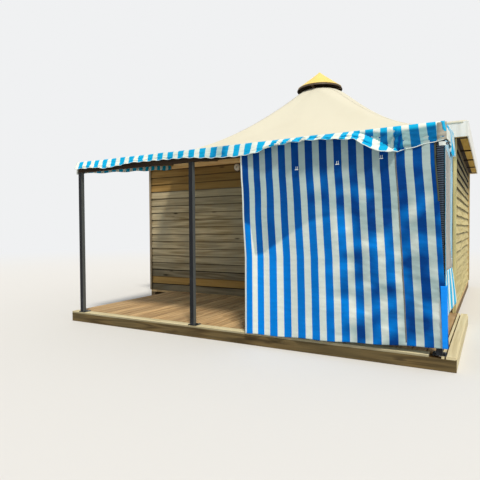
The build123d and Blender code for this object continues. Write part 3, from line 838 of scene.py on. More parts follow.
# %% [markdown]
# ## Crown and cap
# The rafters meet a painted steel ring, and a low cone of yellow coated cloth on a dark band
# keeps the rain out above it. The solids of the ring and its arms stay. The cap is turned again
# as a thin shell with a rolled edge, and its cloth sinks slightly between eight ribs.

# %% A finish of two close colours


def mottled(name, fresh, faded, scale, detail, roughness, skin=1.0):
    """Two close colours in soft patches, as dust and sun leave them: scale patches to a metre."""
    material, tree, surface = new_finish(name, roughness, skin=skin)
    place = add(tree, "ShaderNodeTexCoord")
    fade = add(tree, "ShaderNodeTexNoise", {"Vector": place.outputs["Object"], "Scale": scale,
                                            "Detail": detail})
    mixed = add(tree, "ShaderNodeMix", {"Factor": fade.outputs[0], "A": tint(fresh), "B": tint(faded)},
                data_type="RGBA")
    tree.links.new(mixed.outputs["Result"], surface.inputs["Base Color"])
    return material


# PVC-coated polyester cloth, half matt: a warm yellow that glows in the sun
cap_finish = mottled("pvc_coated_cloth_yellow", "#EFC650", "#F3DA82", 5.0, 4.0, 0.5)
# Painted steel sheet: a dark brown line between the cap and the canvas
band_finish = mottled("painted_sheet_dark_brown", "#35261A", "#544028", 9.0, 5.0, 0.55)
# A dark matt finish on the cap's inner faces, seen only from below: painted shade under the cap
underside_painted_shade = mottled("dark_cloth_painted_shade", "#33271A", "#4C3B28", 12.0, 3.0, 0.9, skin=0.3)
print("cap finishes ready")

# %% Galvanised steel, dipped in zinc: a pale grey metal whose crystals glint in turn
steel_finish, tree, surface = new_finish("galvanised_steel", 0.5, metallic=1.0)
place = add(tree, "ShaderNodeTexCoord")
spangle = add(tree, "ShaderNodeTexVoronoi", {"Vector": place.outputs["Object"], "Scale": 90.0})
mixed = add(tree, "ShaderNodeMix", {"Factor": spangle.outputs["Distance"], "A": tint("#A9ADAF"),
                                    "B": tint("#888D90")}, data_type="RGBA")
tree.links.new(mixed.outputs["Result"], surface.inputs["Base Color"])
dress(band_finish, "crown_ring", "crown_arms")

# %% Turned pieces
rib_count, cap_edge = 8, 0.476


def keep_creases(made, angle):
    """Smooth shading stops at edges sharper than the angle, in degrees."""
    split = made.modifiers.new("creases", "EDGE_SPLIT")
    split.split_angle = math.radians(angle)


def turned(name, profile, slot, finishes, stands_for, inner_from, dip=0.0, sides=96):
    """A closed profile of (radius, height) turned about the roof's middle; ribs dip between.

    Its faces from inner_from on are the inside, and get the second finish.
    """
    points, faces, cut, finish_of = [], [], [], []
    around = len(profile)
    for side in range(sides):
        angle = 2 * math.pi * side / sides
        for radius, height in profile:
            # Deepest half way up the slope, and nothing at the tip and the edge
            low_between = dip * math.sin(rib_count / 2 * angle) ** 2 * radius * (cap_edge - radius) / 0.05
            points.append(Vector((radius * math.cos(angle), cabin_middle + radius * math.sin(angle),
                                  height - low_between)))
    for side in range(sides):
        after = (side + 1) % sides
        for number in range(around):
            then = (number + 1) % around
            faces.append((side * around + number, after * around + number, after * around + then,
                          side * around + then))
            spots = [(side / sides * 3, number * 0.1), ((side + 1) / sides * 3, number * 0.1)]
            cut += [spots[0], spots[1], (spots[1][0], spots[1][1] + 0.1), (spots[0][0], spots[0][1] + 0.1)]
            finish_of.append(int(number >= inner_from))
    made = piece(name, points, faces, slot, finishes, cut, stands_for, finish_of=finish_of, smooth=True)
    keep_creases(made, 38)
    return made


# %% The cap's band and cloth
rim_low, rim_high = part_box("cap_rim")
cone_low, cone_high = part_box("cap_cone")
rim_radius, cone_radius = rim_high.x, cone_high.x
rim = [(rim_radius - 0.004, rim_low.z), (rim_radius, rim_low.z + 0.005),
       (rim_radius - 0.001, rim_low.z + 0.012), (cone_radius + 0.004, rim_high.z - 0.006),
       (cone_radius - 0.006, rim_high.z), (cone_radius - 0.018, rim_high.z),
       (rim_radius - 0.016, rim_low.z + 0.004)]
turned("cap_band", rim, "cap_brown", [band_finish, underside_painted_shade], ("cap_rim",), 5)
cone = [(cone_radius - 0.001, cone_low.z), (cone_radius + 0.001, cone_low.z + 0.006)]
steps, inner_steps = 12, 6
edge_tall, cloth_thick = 0.006, 0.012
rise = cone_high.z - cone_low.z - edge_tall
for step in range(1, steps):
    part = step / steps
    cone.append((cone_radius * (1 - part), cone_low.z + edge_tall + rise * part ** 1.02))
cone += [(0.012, cone_high.z - 0.003), (0.0008, cone_high.z), (0.0008, cone_high.z - 0.02)]
inside = len(cone) - 2
for step in range(inner_steps - 1, 0, -1):
    part = step / inner_steps
    cone.append((cone_radius * (1 - part) - cloth_thick, cone_low.z + (rise - 0.018) * part))
cone.append((cone_radius - cloth_thick, cone_low.z))
turned("cap_cloth", cone, "cap_yellow", [cap_finish, underside_painted_shade], ("cap_cone",), inside, dip=0.006)
print("cap", round(2 * rim_radius, 3), "m across, its tip at", round(cone_high.z, 3))

# %% [markdown]
# ## Posts
# The awning stands on square steel tubes with a dark powder coat. The solids are right, with
# rounded edges and foot plates, so they keep their shape. The finish has the coat's fine pebbled
# skin and paler scuffs low down, and each plate gets its four bolts.

# %% Powder-coated steel: blue-black, with scuffs that tell its age, and painted sunlight on faces towards +X
post_finish, tree, surface = new_finish("powder_coated_steel_anthracite", 0.5, skin=0.5)
place = add(tree, "ShaderNodeTexCoord")
scuff = add(tree, "ShaderNodeTexNoise", {"Vector": place.outputs["Object"], "Scale": 14.0, "Detail": 6.0,
                                         "Roughness": 0.7})
parts = add(tree, "ShaderNodeSeparateXYZ", {"Vector": place.outputs["Object"]})
low_down = add(tree, "ShaderNodeMapRange", {"Value": parts.outputs["Z"], "From Min": 0.15, "From Max": 1.1,
                                            "To Min": 1.0, "To Max": 0.25})
worn = add(tree, "ShaderNodeMapRange", {"Value": scuff.outputs[0], "From Min": 0.5, "From Max": 0.8})
worn = add(tree, "ShaderNodeMath", {0: worn.outputs[0], 1: low_down.outputs[0]}, operation="MULTIPLY")
mixed = add(tree, "ShaderNodeMix", {"Factor": worn.outputs[0], "A": tint("#0A0D12"), "B": tint("#30353D")},
            data_type="RGBA")
# Painted sunlight: the faces towards +X, where the key light comes from, are painted pale grey
facing = add(tree, "ShaderNodeSeparateXYZ", {"Vector": add(tree, "ShaderNodeNewGeometry").outputs["Normal"]})
painted_sun_side = add(tree, "ShaderNodeMapRange", {"Value": facing.outputs["X"], "From Min": 0.6, "From Max": 0.95,
                                         "To Max": 0.75})
mixed = add(tree, "ShaderNodeMix", {"Factor": painted_sun_side.outputs[0], "A": mixed.outputs["Result"],
                                    "B": tint("#696D6C")}, data_type="RGBA")
tree.links.new(mixed.outputs["Result"], surface.inputs["Base Color"])
skin = add(tree, "ShaderNodeTexNoise", {"Vector": place.outputs["Object"], "Scale": 420.0})
relief = add(tree, "ShaderNodeBump", {"Height": skin.outputs[0], "Strength": 0.1, "Distance": 0.0005})
tree.links.new(relief.outputs[0], surface.inputs["Normal"])
dress(post_finish, "post_left", "post_middle", "post_right")

# %% A hexagon bolt


def bolt(points, faces, cut, centre, radius, tall):
    """A hexagon head with a domed top."""
    first = len(points)
    for level, share in ((0, 1.0), (tall * 0.75, 1.0), (tall, 0.82)):
        for corner in range(6):
            angle = corner * math.pi / 3
            points.append(centre + Vector((radius * share * math.cos(angle), radius * share * math.sin(angle),
                                           level)))
    for level in range(2):
        for corner in range(6):
            a, b = first + level * 6 + corner, first + level * 6 + (corner + 1) % 6
            faces.append((a, b, b + 6, a + 6))
            cut.extend([(0, 0), (0.01, 0), (0.01, 0.01), (0, 0.01)])
    faces.append(tuple(first + 12 + corner for corner in range(6)))
    cut.extend([(0, 0)] * 6)


# %% Bolts on the foot plates
points, faces, cut = [], [], []
posts = ("post_left", "post_middle", "post_right")
plate_thick, head_radius, head_tall = 0.008, 0.008, 0.007
for name in posts:
    low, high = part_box(name)
    foot_wide = high.x - low.x
    for side_x in (0.16, 0.84):
        for side_y in (0.7, 0.88):
            centre = Vector((low.x + foot_wide * side_x, low.y + foot_wide * side_y, low.z + plate_thick))
            bolt(points, faces, cut, centre, head_radius, head_tall)
piece("foot_bolts", points, faces, "crown_steel", [steel_finish], cut)
print(len(posts) * 4, "bolts")

# %% [markdown]
# ## Striped cloth
# The awning is acrylic cloth in block stripes, blue and white, on a repeat of 167 mm. It is woven
# in these stripes, so they follow the flat cut of each sheet: the finish reads the cut, and the
# folds in the mesh bend the stripes for free.

# %% Woven acrylic finish
repeat = 0.167
edge_sharpness = 26.0


def striped(name, deep, bright, shaded, white, roughness, blue_share):
    """Block stripes across the cut. A face's tone, from 0 to 1, goes from painted shade to painted sunlight.
    """
    material, tree, surface = new_finish(name, roughness, skin=0.12)
    cut = add(tree, "ShaderNodeUVMap", uv_map="cut")
    parts = add(tree, "ShaderNodeSeparateXYZ", {"Vector": cut.outputs["UV"]})
    wave = add(tree, "ShaderNodeMath", {0: parts.outputs["X"], 1: 2 * math.pi / repeat}, operation="MULTIPLY")
    wave = add(tree, "ShaderNodeMath", {0: wave.outputs[0]}, operation="SINE")
    wider = 0.5 + edge_sharpness * math.sin(math.pi * (blue_share - 0.5))
    stripe = add(tree, "ShaderNodeMath", {0: wave.outputs[0], 1: edge_sharpness, 2: wider},
                 operation="MULTIPLY_ADD", use_clamp=True)
    room = add(tree, "ShaderNodeTexCoord").outputs["Object"]
    fade = add(tree, "ShaderNodeTexNoise", {"Vector": room, "Scale": 2.3, "Detail": 4.0})
    fade = add(tree, "ShaderNodeMapRange", {"Value": fade.outputs[0], "From Min": 0.35, "From Max": 0.7,
                                            "To Min": -0.1, "To Max": 0.15})
    # The tone, with random faded patches, mixes the shaded colours into the lit ones: painted shade and
    # sunlight
    sun = add(tree, "ShaderNodeAttribute", attribute_name="tone")
    sun = add(tree, "ShaderNodeMath", {0: sun.outputs["Fac"], 1: fade.outputs[0]}, use_clamp=True)
    blues = add(tree, "ShaderNodeMix", {"Factor": sun.outputs[0], "A": tint(deep), "B": tint(bright)},
                data_type="RGBA")
    whites = add(tree, "ShaderNodeMix", {"Factor": sun.outputs[0], "A": tint(shaded), "B": tint(white)},
                 data_type="RGBA")
    cloth = add(tree, "ShaderNodeMix", {"Factor": stripe.outputs[0], "A": whites.outputs["Result"],
                                        "B": blues.outputs["Result"]}, data_type="RGBA")
    tree.links.new(cloth.outputs["Result"], surface.inputs["Base Color"])
    # The rib of the weave is 0.5 mm in the real cloth and 3 mm here, so that it can show
    fine = add(tree, "ShaderNodeMapping", {"Vector": cut.outputs["UV"], "Scale": (330.0, 120.0, 1.0)})
    rib = add(tree, "ShaderNodeTexNoise", {"Vector": fine.outputs[0], "Scale": 1.0, "Detail": 1.0})
    soft = add(tree, "ShaderNodeMapping", {"Vector": cut.outputs["UV"], "Scale": (3.5, 11.0, 1.0)})
    folds = add(tree, "ShaderNodeTexNoise", {"Vector": soft.outputs[0], "Scale": 1.0, "Detail": 3.0})
    fine_bump = add(tree, "ShaderNodeBump", {"Height": rib.outputs[0], "Strength": 0.12, "Distance": 0.001})
    relief = add(tree, "ShaderNodeBump", {"Height": folds.outputs[0], "Strength": 0.6, "Distance": 0.02,
                                          "Normal": fine_bump.outputs[0]})
    tree.links.new(relief.outputs[0], surface.inputs["Normal"])
    return material


# Acrylic cloth on the curtain: deep blue and a grey white as painted shade, brighter as painted sunlight
curtain_cloth = striped("woven_acrylic_striped", "#00397E", "#007FDD", "#98AEAE", "#DBE2DA", 0.5, 0.535)
# The same cloth on the awning: its blues run from deep to cyan as painted shade and painted sunlight
awning_cloth = striped("woven_acrylic_striped_awning", "#014C8D", "#10B2E4", "#6C9EA3", "#E9EDE3",
                       0.55, 0.555)
# The same cloth at the corner, in brighter blues and whites: painted sunlight on the wrapped edge
corner_cloth = striped("woven_acrylic_striped_corner_painted_sun", "#0E74DA", "#168CF4", "#B4BFBE", "#F4F8F2",
                       0.5, 0.5)
print("stripe repeat", repeat * 1000, "mm")

# %% Tapes and patches


def tape(name, pale, dark):
    """Twill tape, as sewn along hems."""
    material, tree, surface = new_finish(name, 0.75, skin=0.4)
    cut = add(tree, "ShaderNodeUVMap", uv_map="cut")
    twill = add(tree, "ShaderNodeTexWave", {"Vector": cut.outputs["UV"], "Scale": 60.0, "Distortion": 1.0})
    mixed = add(tree, "ShaderNodeMix", {"Factor": twill.outputs["Fac"], "A": tint(pale), "B": tint(dark)},
                data_type="RGBA")
    tree.links.new(mixed.outputs["Result"], surface.inputs["Base Color"])
    return material


# Woven polyester tape: white, with a faint twill that breaks its gloss
hem_finish = tape("polyester_hem_tape", "#E2E8E2", "#CDD6D2")
# Woven cotton tape: dull olive, which ends the stripes with a dark line
olive_tape = tape("cotton_hem_tape_olive", "#4E533F", "#3D4232")
# Woven canvas: a beige patch that takes the strain at the corner
patch_tape = tape("canvas_corner_patch", "#B3B0A1", "#9A978A")
# Woven polyester tape, dyed: the brightest blue on the building
cyan_tape = tape("cyan_corner_tape", "#20C0F0", "#18A8DC")
# Woven zip tape: a thin grey line down the curtain
zip_finish = tape("zip_tape_grey", "#7E7F7C", "#545450")
print("tapes ready")

# %% A sheet of cloth from its flat cut


def hang(name, place, across, down, slot, finish, stands_for=(), thick=0.0016, sun=None):
    """A cloth: place(a, b) gives the point and the flat spot for a across and b down, 0 to 1.

    sun(a, b) gives the cloth's tone there, from painted shade at 0 to painted sunlight at 1.
    """
    spots = [place(column / across, row / down) for row in range(down + 1) for column in range(across + 1)]
    faces = []
    for row in range(down):
        for column in range(across):
            first = row * (across + 1) + column
            faces.append((first, first + 1, first + across + 2, first + across + 1))
    cut = [spots[corner][1] for face in faces for corner in face]
    tones = None
    if sun:
        tones = [sun((column + 0.5) / across, (row + 0.5) / down)
                 for row in range(down) for column in range(across)]
    points = [spot[0] for spot in spots]
    made = piece(name, points, faces, slot, [finish], cut, stands_for, tones, smooth=True)
    solid = made.modifiers.new("thickness", "SOLIDIFY")
    solid.thickness = thick
    solid.offset = 0
    area = sum(polygon.area for polygon in made.data.polygons)
    print(name, "has", round(area, 2), "square metres of cloth")
    return made

# %% [markdown]
# ## The awning's top and valance
# One sheet runs from the ledger over the rafters, rounds the front beam and hangs down as a
# valance. The wind has flipped its middle forward, and right of that it droops behind a slanting
# crease. The flip, more than any stripe, makes its stripes lean, because the foot is then nearer
# to the eye. So its foot and its push are given along the front, as measured in the photo.

# %% The awning's edges, and the lines measured along its front
canopy_low, canopy_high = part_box("awning_canopy")
valance_low, valance_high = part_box("front_valance")
ledger_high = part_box("awning_ledger")[1]
left_end, right_end = valance_low.x + 0.004, valance_high.x - 0.004
back_y, front_y = canopy_high.y, canopy_low.y + 0.002
canopy_run = back_y - front_y
slope = (canopy_high.z - valance_high.z) / (canopy_high.y - canopy_low.y)
foot_line = [(-2.15, 2.315), (-1.73, 2.310), (-1.53, 2.286), (-1.0, 2.329), (-0.07, 2.317), (0.32, 2.279),
             (0.69, 2.266), (0.98, 2.283), (1.19, 2.334), (1.51, 2.343), (1.73, 2.342), (2.10, 2.309),
             (2.255, 2.203), (2.42, 2.152), (2.62, 2.185), (2.80, 2.223), (2.93, 2.238)]
push_line = [(-2.15, 0.05), (-1.5, 0.04), (-1.0, 0.03), (0.0, 0.03), (0.66, 0.05), (0.94, 0.08), (1.13, 0.14),
             (1.45, 0.17), (1.75, 0.17), (2.1, 0.15), (2.45, 0.10), (2.5, 0.02), (2.93, 0.02)]
gather_line = [(-2.2, -0.020), (-1.6, 0.0), (-0.1, -0.022), (0.25, -0.028), (0.6, -0.031), (0.78, -0.014),
               (0.95, -0.021), (1.12, -0.038), (1.28, -0.013), (1.45, 0.003), (1.78, -0.004),
               (1.95, -0.030), (2.08, 0.036), (2.20, 0.079), (2.33, 0.084), (2.48, 0.139), (2.80, 0.152),
               (2.85, 0.156), (2.895, 0.190), (2.93, 0.200)]
sun_along_front = [(-2.2, 1.0), (-1.2, 0.95), (-0.2, 0.74), (0.9, 0.74), (1.2, 0.95), (2.0, 0.95)]
flip_end, droop_end = 1.98, 2.46
valance_drop = 0.17
half_rafter = 0.0225
first_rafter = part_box("awning_rafters")[0].x + half_rafter
last_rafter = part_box("awning_rafters")[1].x - half_rafter
middle_post = (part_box("post_middle")[0].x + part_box("post_middle")[1].x) / 2
rafters_at = [first_rafter, (first_rafter + middle_post) / 2, middle_post, (middle_post + last_rafter) / 2,
              last_rafter]
canopy_share = 0.62
phase = 0.0855
print("valance from", round(left_end, 3), "to", round(right_end, 3), "m")

# %% Small measures that the awning's shape uses


def between_rafters(x):
    """0 on a rafter and 1 midway to the next."""
    for near, far_end in zip(rafters_at, rafters_at[1:]):
        if near <= x <= far_end:
            return math.sin(math.pi * (x - near) / (far_end - near))
    return 0.0


def side_edge(y):
    """The awning's right edge at a depth: it narrows towards the wall."""
    return line([(canopy_low.y, canopy_high.x), (ledger_high.y, ledger_high.x)], y)


def crease_at(x):
    """How far down the crease is: above it the valance hangs, below it the wind holds it out."""
    return min(1.0, max(0.0, line([(flip_end, 0.0), (droop_end, 0.80)], x)))


print("halfway along, the crease is", round(crease_at((flip_end + droop_end) / 2), 2), "of the way down")

# %% The awning's shape


def awning_place(a, b):
    """A point of the awning: a along the front, b from the ledger to the valance's hem."""
    if b < canopy_share:
        part = (b / canopy_share) ** 0.8
        y = back_y - canopy_run * part
        x = left_end + (side_edge(y) + 0.006 - left_end) * a
        z = canopy_high.z - slope * canopy_run * part + 0.004 + 0.014 * ease(part, 0.9, 1.0)
        z -= (0.022 * between_rafters(x) + 0.004) * math.sin(math.pi * part) ** 0.7
        return Vector((x, y, z)), (x + line(gather_line, x) + phase, -canopy_run * part)
    part = (b - canopy_share) / (1 - canopy_share)
    x = left_end + (right_end - left_end) * a
    top = valance_high.z + 0.018 + 0.004 * math.sin(x * 9)
    foot = line(foot_line, x) + 0.004 * math.sin(x * 37)
    crease = crease_at(x)
    blown = max(0.0, part - crease) / (1.001 - crease)
    ripple = 0.010 * noise.noise(Vector((x * 4.3, part * 0.8, 2.0))) + 0.005 * math.sin(x * 37.6 + part)
    crumple = ease(x, 2.42, 2.47) * (1 - ease(x, 2.50, 2.55))
    y = front_y - 0.010 * ease(part, 0, 0.12) - line(push_line, x) * blown - ripple * part
    y -= crumple * 0.035 * math.sin((x - 2.42) * 95 + 3 * part) * part ** 0.5
    # The wind crumples the flipped part: soft dents, and creases where the noise turns sharply
    slack = 0.25 + 0.75 * ease(x, 0.9, 1.3) * (1 - ease(x, 2.5, 2.7))
    y -= 0.060 * slack * part * noise.noise(Vector((x * 9.5 + part * 3.5, part * 4.0 - x, 8.0)))
    y += 0.070 * slack * part * abs(noise.noise(Vector((x * 6.0 - part * 4.5, part * 3.0, 15.0))))
    lean = 0.17 * ease(x, 2.3, 2.5)
    down = valance_drop * part
    return Vector((x, y, top - (top - foot) * part)), (
        x + line(gather_line, x) + phase - lean * down, -(canopy_run + down))


print("the valance hangs down to", round(awning_place(0.9, 1.0)[0].z, 3), "m near its right end")

# %% Where the awning takes painted sunlight and painted shade


def awning_sun(a, b):
    """Painted sunlight on its upper side and the flipped part, and painted shade on the hanging part right of
    it.
    """
    if b < canopy_share:
        return 0.9
    x = left_end + (right_end - left_end) * a
    part = (b - canopy_share) / (1 - canopy_share)
    if x < flip_end:
        dip_shade = 0.45 * math.exp(-((x - 0.42) / 0.11) ** 2)
        return line(sun_along_front, x) - dip_shade
    if part > crease_at(x):
        return 0.95
    return 0.95 - 0.85 * ease(part, 0.10, 0.26)


# %% Canopy and front valance in one sheet
awning = hang("awning_sheet", awning_place, 400, 60, "striped_cloth", awning_cloth,
              ("awning_canopy", "front_valance"), sun=awning_sun)

# %% Tapes and patches sewn on it


def ribbon(name, place, start, end, wide, along_edge, steps=90, lift=0.0018, finish=hem_finish):
    """A tape sewn on a sheet, from start to end in (a, b), a share wide across a or b."""
    spots = []
    for step in range(steps + 1):
        part = step / steps
        a, b = (start[n] + (end[n] - start[n]) * part for n in (0, 1))
        other = (a + wide, b) if along_edge == "down" else (a, b + wide)
        near, far_point = place(a, b)[0], place(*other)[0]
        off = along_y * lift
        spots.append((near - off, far_point - off))
    return strip(name, spots, 0.02, "striped_cloth", finish, 0.0012)


piping = ribbon("valance_piping", awning_place, (0.0, 0.984), (1.0, 0.984), 0.014, "across", 400, 0.0022)
patch_from, flap_from = ((x - left_end) / (right_end - left_end) for x in (2.866, 2.903))
patch = ribbon("valance_corner_patch", awning_place, (patch_from, 0.650), (patch_from, 0.985),
               1.004 - patch_from, "down", 30, 0.003, patch_tape)
flap = ribbon("valance_corner_tape", awning_place, (flap_from, 0.640), (flap_from + 0.0035, 0.83), 0.0055,
              "down", 30, 0.006, cyan_tape)

# %% [markdown]
# ## The side valances
# A narrow valance goes on along both sides of the awning. On the left it hangs level. On the
# right the wind has folded it over near the corner, and it droops further back. One place function
# serves both sides, with the droop given, so that they stay a pair.

# %% Side valances
side_run = ledger_high.y - canopy_low.y
# Both side valances take painted sunlight all over
for name, sign, droop in (("left_valance", -1, 0.0), ("right_valance", 1, 0.17)):

    def side_place(a, b, sign=sign, droop=droop):
        y = canopy_low.y + side_run * a
        top = valance_high.z + slope * side_run * a + 0.006
        tall = valance_drop + droop * ease(a, 0.15, 0.5) - 0.015 * math.sin(y * 6.0) ** 2
        crumple = (0.012 + 0.12 * droop) * noise.noise(Vector((y * 6.5, b * 2.0, 7.0 + sign)))
        out = 0.004 + (0.020 + crumple) * b
        edge = side_edge(y) + 0.004 if sign > 0 else left_end
        spot = y * 1.02
        if sign > 0 and a < 0.36:
            # Near the corner it is folded over: one blue stripe over one white one
            spot = 0.04 if b < 0.22 else 0.125
        return Vector((edge + sign * out, y, top - tall * b)), (spot, -tall * b)

    valance = hang(f"{name}_cloth", side_place, 90, 14, "striped_cloth", awning_cloth, (name,),
                   sun=lambda a, b: 0.9)

# %% [markdown]
# ## The front curtain
# The curtain is 2.25 m wide as cut. A simulation would find folds of its own, in other places
# than the photo's, so the sheet is placed by smooth lines: where its stripes start, how they
# lean on the way down, its foot, soft upright folds at the left and slack wrinkles at the right.
# The lines were measured on one upright plane. Cloth in front of that plane would look shifted,
# so it moves along its line of sight to the camera.

# %% The curtain's size, and the lines measured on it
curtain_low, curtain_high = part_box("front_curtain")
curtain_wide, curtain_tall = 2.245, 2.27
first_blue = 0.025
hang_y = (curtain_low.y + curtain_high.y) / 2
top_line = [(0.0, 0.700), (0.022, 0.721), (0.189, 0.872), (0.356, 1.029), (0.523, 1.197), (1.024, 1.688),
            (1.191, 1.852), (2.193, 2.816), (2.245, 2.868)]
lean_line = [(0.0, -0.022), (0.17, -0.009), (0.31, 0.017), (0.59, 0.054), (0.88, 0.052)]
curtain_foot_line = [(0.0, 0.136), (0.5, 0.167), (1.0, 0.232)]
low_shift = [(0.0, -0.015), (0.19, -0.019), (0.36, -0.019), (0.52, -0.010), (0.8, -0.005), (1.7, -0.006),
             (1.9, 0.0), (2.3, 0.0)]
# sun_line gives where the painted patch of sunlight starts down the curtain, and open_sun_line its strength
sun_line = [(0.0, 0.40), (0.05, 0.42), (0.07, 0.58), (0.12, 0.57), (0.25, 0.486), (0.39, 0.405),
            (0.46, 0.385), (1.0, 0.36)]
open_sun_line = [(0.0, 0.75), (0.14, 0.75), (0.25, 0.45), (0.5, 0.35), (0.72, 0.0), (1.0, 0.0)]
pressed_creases = (0.50, 1.06)
print("curtain", curtain_wide, "m wide as cut,", round(curtain_wide / repeat, 1), "repeats")

# %% The curtain's shape


def towards_eye(point, forward):
    """The point moved forward to the camera's side, along its own line of sight."""
    return point + (eye_place - point) * forward / (point.y - eye_place.y)


def curtain_place(a, b):
    """A point of the curtain: a from its left edge, b from its top."""
    flat = curtain_wide * a
    x = line(top_line, flat) + line(lean_line, b) + 0.042 * a * ease(b, 0.55, 0.9)
    x += line(low_shift, flat) * ease(b, 0.2, 0.4) + 0.016 * a * ease(b, 0.86, 1.0)
    foot = line(curtain_foot_line, a) + 0.004 * math.sin(11 * flat)
    z = curtain_high.z - 0.006 - (curtain_high.z - 0.006 - foot) * b
    free = ease(b, 0.03, 0.45)
    folds = 0.016 * math.sin(flat * 17.0 + 0.5) * (1 - ease(flat, 0.5, 1.1))
    folds += 0.008 * math.sin(flat * 8.6 + 1.2 * b) + 0.005 * math.sin(flat * 23.0 - 2.0 * b)
    folds += 0.012 * noise.noise(Vector((flat * 2.2, b * 1.3, 4.0)))
    slack = 0.2 + 0.8 * ease(flat, 0.9, 1.6) * ease(b, 0.1, 0.35)
    folds += 0.014 * slack * noise.noise(Vector((flat * 2.4 - z * 1.2, z * 8.0 + flat * 1.5, 11.0)))
    folds += 0.006 * slack * noise.noise(Vector((flat * 5.0, z * 21.0 + flat * 5.0, 17.0)))
    folds -= 0.016 * slack * abs(noise.noise(Vector((flat * 1.7 + z * 0.9, z * 5.2 - flat * 0.8, 31.0))))
    pressed = sum(math.exp(-((z - height) / 0.007) ** 2) for height in pressed_creases)
    hem = 0.003 * ease(b, 0.974, 0.978)
    forward = (folds + 0.026 + 0.002 * pressed + hem) * free
    return towards_eye(Vector((x, hang_y, z)), forward), (flat - first_blue, -curtain_tall * b)


def curtain_sun(a, b):
    """Painted shade at its top under the valance, a painted patch of sunlight low at its left, and painted
    highlights.
    """
    reach = line(sun_line, a)
    open_sun = line(open_sun_line, a) * ease(b, reach - 0.01, reach + 0.015)
    # Painted highlights where the slack cloth on the right catches the light
    glow = noise.noise(Vector((a * 7.0 - b * 3.0, b * 13.0 + a * 4.0, 21.0)))
    glow *= ease(a, 0.3, 0.6) * ease(b, 0.1, 0.3)
    return 0.04 + 0.26 * ease(b, 0.05, 0.7) + open_sun + 0.9 * glow


# %% Front curtain, its hems and its zip
curtain = hang("front_curtain_cloth", curtain_place, 240, 170, "striped_cloth", curtain_cloth,
               ("front_curtain",), sun=curtain_sun)
side_hem = ribbon("curtain_side_hem", curtain_place, (0.0, 0.0), (0.0, 1.0), 0.0085, "down")
corner_hem = ribbon("curtain_corner_hem", curtain_place, (0.9935, 0.0), (0.9935, 0.34), 0.0065, "down",
                    finish=olive_tape)
# The zip runs beside the eleventh repeat
zip_wide = 0.006
zip_at = (first_blue + 11 * repeat) / curtain_wide - zip_wide
zip_tape = ribbon("curtain_zip", curtain_place, (zip_at, 0.08), (zip_at, 0.985), zip_wide, "down",
                  lift=0.0024, finish=zip_finish)

# %% [markdown]
# ## The curtain's small fittings
# A tab with an eyelet ties the curtain to the corner post, and toggles hold it when it is rolled
# up. They could be painted on the cloth, but they stand off it and show from the side. So the tab
# is a curled sheet, its eyelet a ring of ribbon, and each toggle a peg on two straps.

# %% A reinforced corner tab with its eyelet, tied back to the corner post


tab_wide, tab_tall = 0.062, 0.038


def tab_place(a, b):
    """A point of the tab: a across, b down."""
    curl = 0.008 * math.sin(3 * a) + 0.006 * noise.noise(Vector((a * 3, b * 3, 41.0)))
    spot = Vector((2.886 + tab_wide * a + 0.004 * b, hang_y - 0.066 - curl,
                   2.218 - tab_tall * b - 0.003 * a))
    return spot, (a * tab_wide, b * tab_tall)


tab = hang("curtain_corner_tab", tab_place, 12, 12, "striped_cloth", hem_finish)
eyelet, eyelet_steps = [], 24
hole_radius, eyelet_radius = 0.004, 0.013
middle = tab_place(1.18, 0.5)[0] - along_y * 0.004
for step in range(eyelet_steps + 1):
    angle = 2 * math.pi * step / eyelet_steps
    spoke = Vector((math.cos(angle), 0, math.sin(angle)))
    eyelet.append((middle + spoke * hole_radius, middle + spoke * eyelet_radius))
eyelet_ring = strip("curtain_eyelet", eyelet, 0.006, "crown_steel", band_finish, 0.002)

# %% Toggles: a peg on two short straps, which hold the curtain when it is rolled up
toggles = Boards(41)
peg_long, strap_long = 0.038, 0.030
for x, z in ((1.433, 2.054), (1.897, 2.078), (2.351, 2.102)):
    middle = Vector((x, hang_y - 0.052, z))
    toggles.lay(middle - along_x * 0.022, along_x, along_y, along_z, planed(0.008, 0.008, 0.002),
                peg_long, tone=0.5)
    for side_x in (-0.012, 0.006):
        toggles.lay(middle + along_x * side_x + along_z * 0.008, along_z, along_x, along_y,
                    planed(0.005, 0.003, 0.001), strap_long, tone=0.5)
toggles.make("curtain_toggles", "striped_cloth", [hem_finish])

# %% [markdown]
# ## The side curtain and its window
# The curtain along the right side has a large window of clear flexible sheet, through which the
# corner post shows. Below the window it bellies outwards, which is why stripes of it are seen
# from the front at all, and its front edge is wrapped round the corner.

# %% Clear sheet: flexible PVC, calendered, so it is glossy but streaked and a little milky
window_finish, tree, surface = new_finish("clear_pvc_sheet", 0.35, ior=1.53)
surface.inputs["Alpha"].default_value = 0.6
cut = add(tree, "ShaderNodeUVMap", uv_map="cut")
ripple = add(tree, "ShaderNodeMapping", {"Vector": cut.outputs["UV"], "Scale": (2.2, 0.3, 1.0)})
wave = add(tree, "ShaderNodeTexNoise", {"Vector": ripple.outputs[0], "Scale": 1.0, "Detail": 2.0})
streak = add(tree, "ShaderNodeMapRange", {"Value": wave.outputs[0], "From Min": 0.35, "From Max": 0.65})
# The streaks in its colour stand for both the calendering's streaks and painted reflections
mixed = add(tree, "ShaderNodeMix", {"Factor": streak.outputs[0], "A": tint("#C2BFB2"), "B": tint("#8D8574")},
            data_type="RGBA")
tree.links.new(mixed.outputs["Result"], surface.inputs["Base Color"])
relief = add(tree, "ShaderNodeBump", {"Height": wave.outputs[0], "Strength": 0.3, "Distance": 0.02})
tree.links.new(relief.outputs[0], surface.inputs["Normal"])

# %% The side curtain's shape
side_low, side_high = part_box("side_curtain")
window_low, window_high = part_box("side_window")
side_long = side_high.y - side_low.y


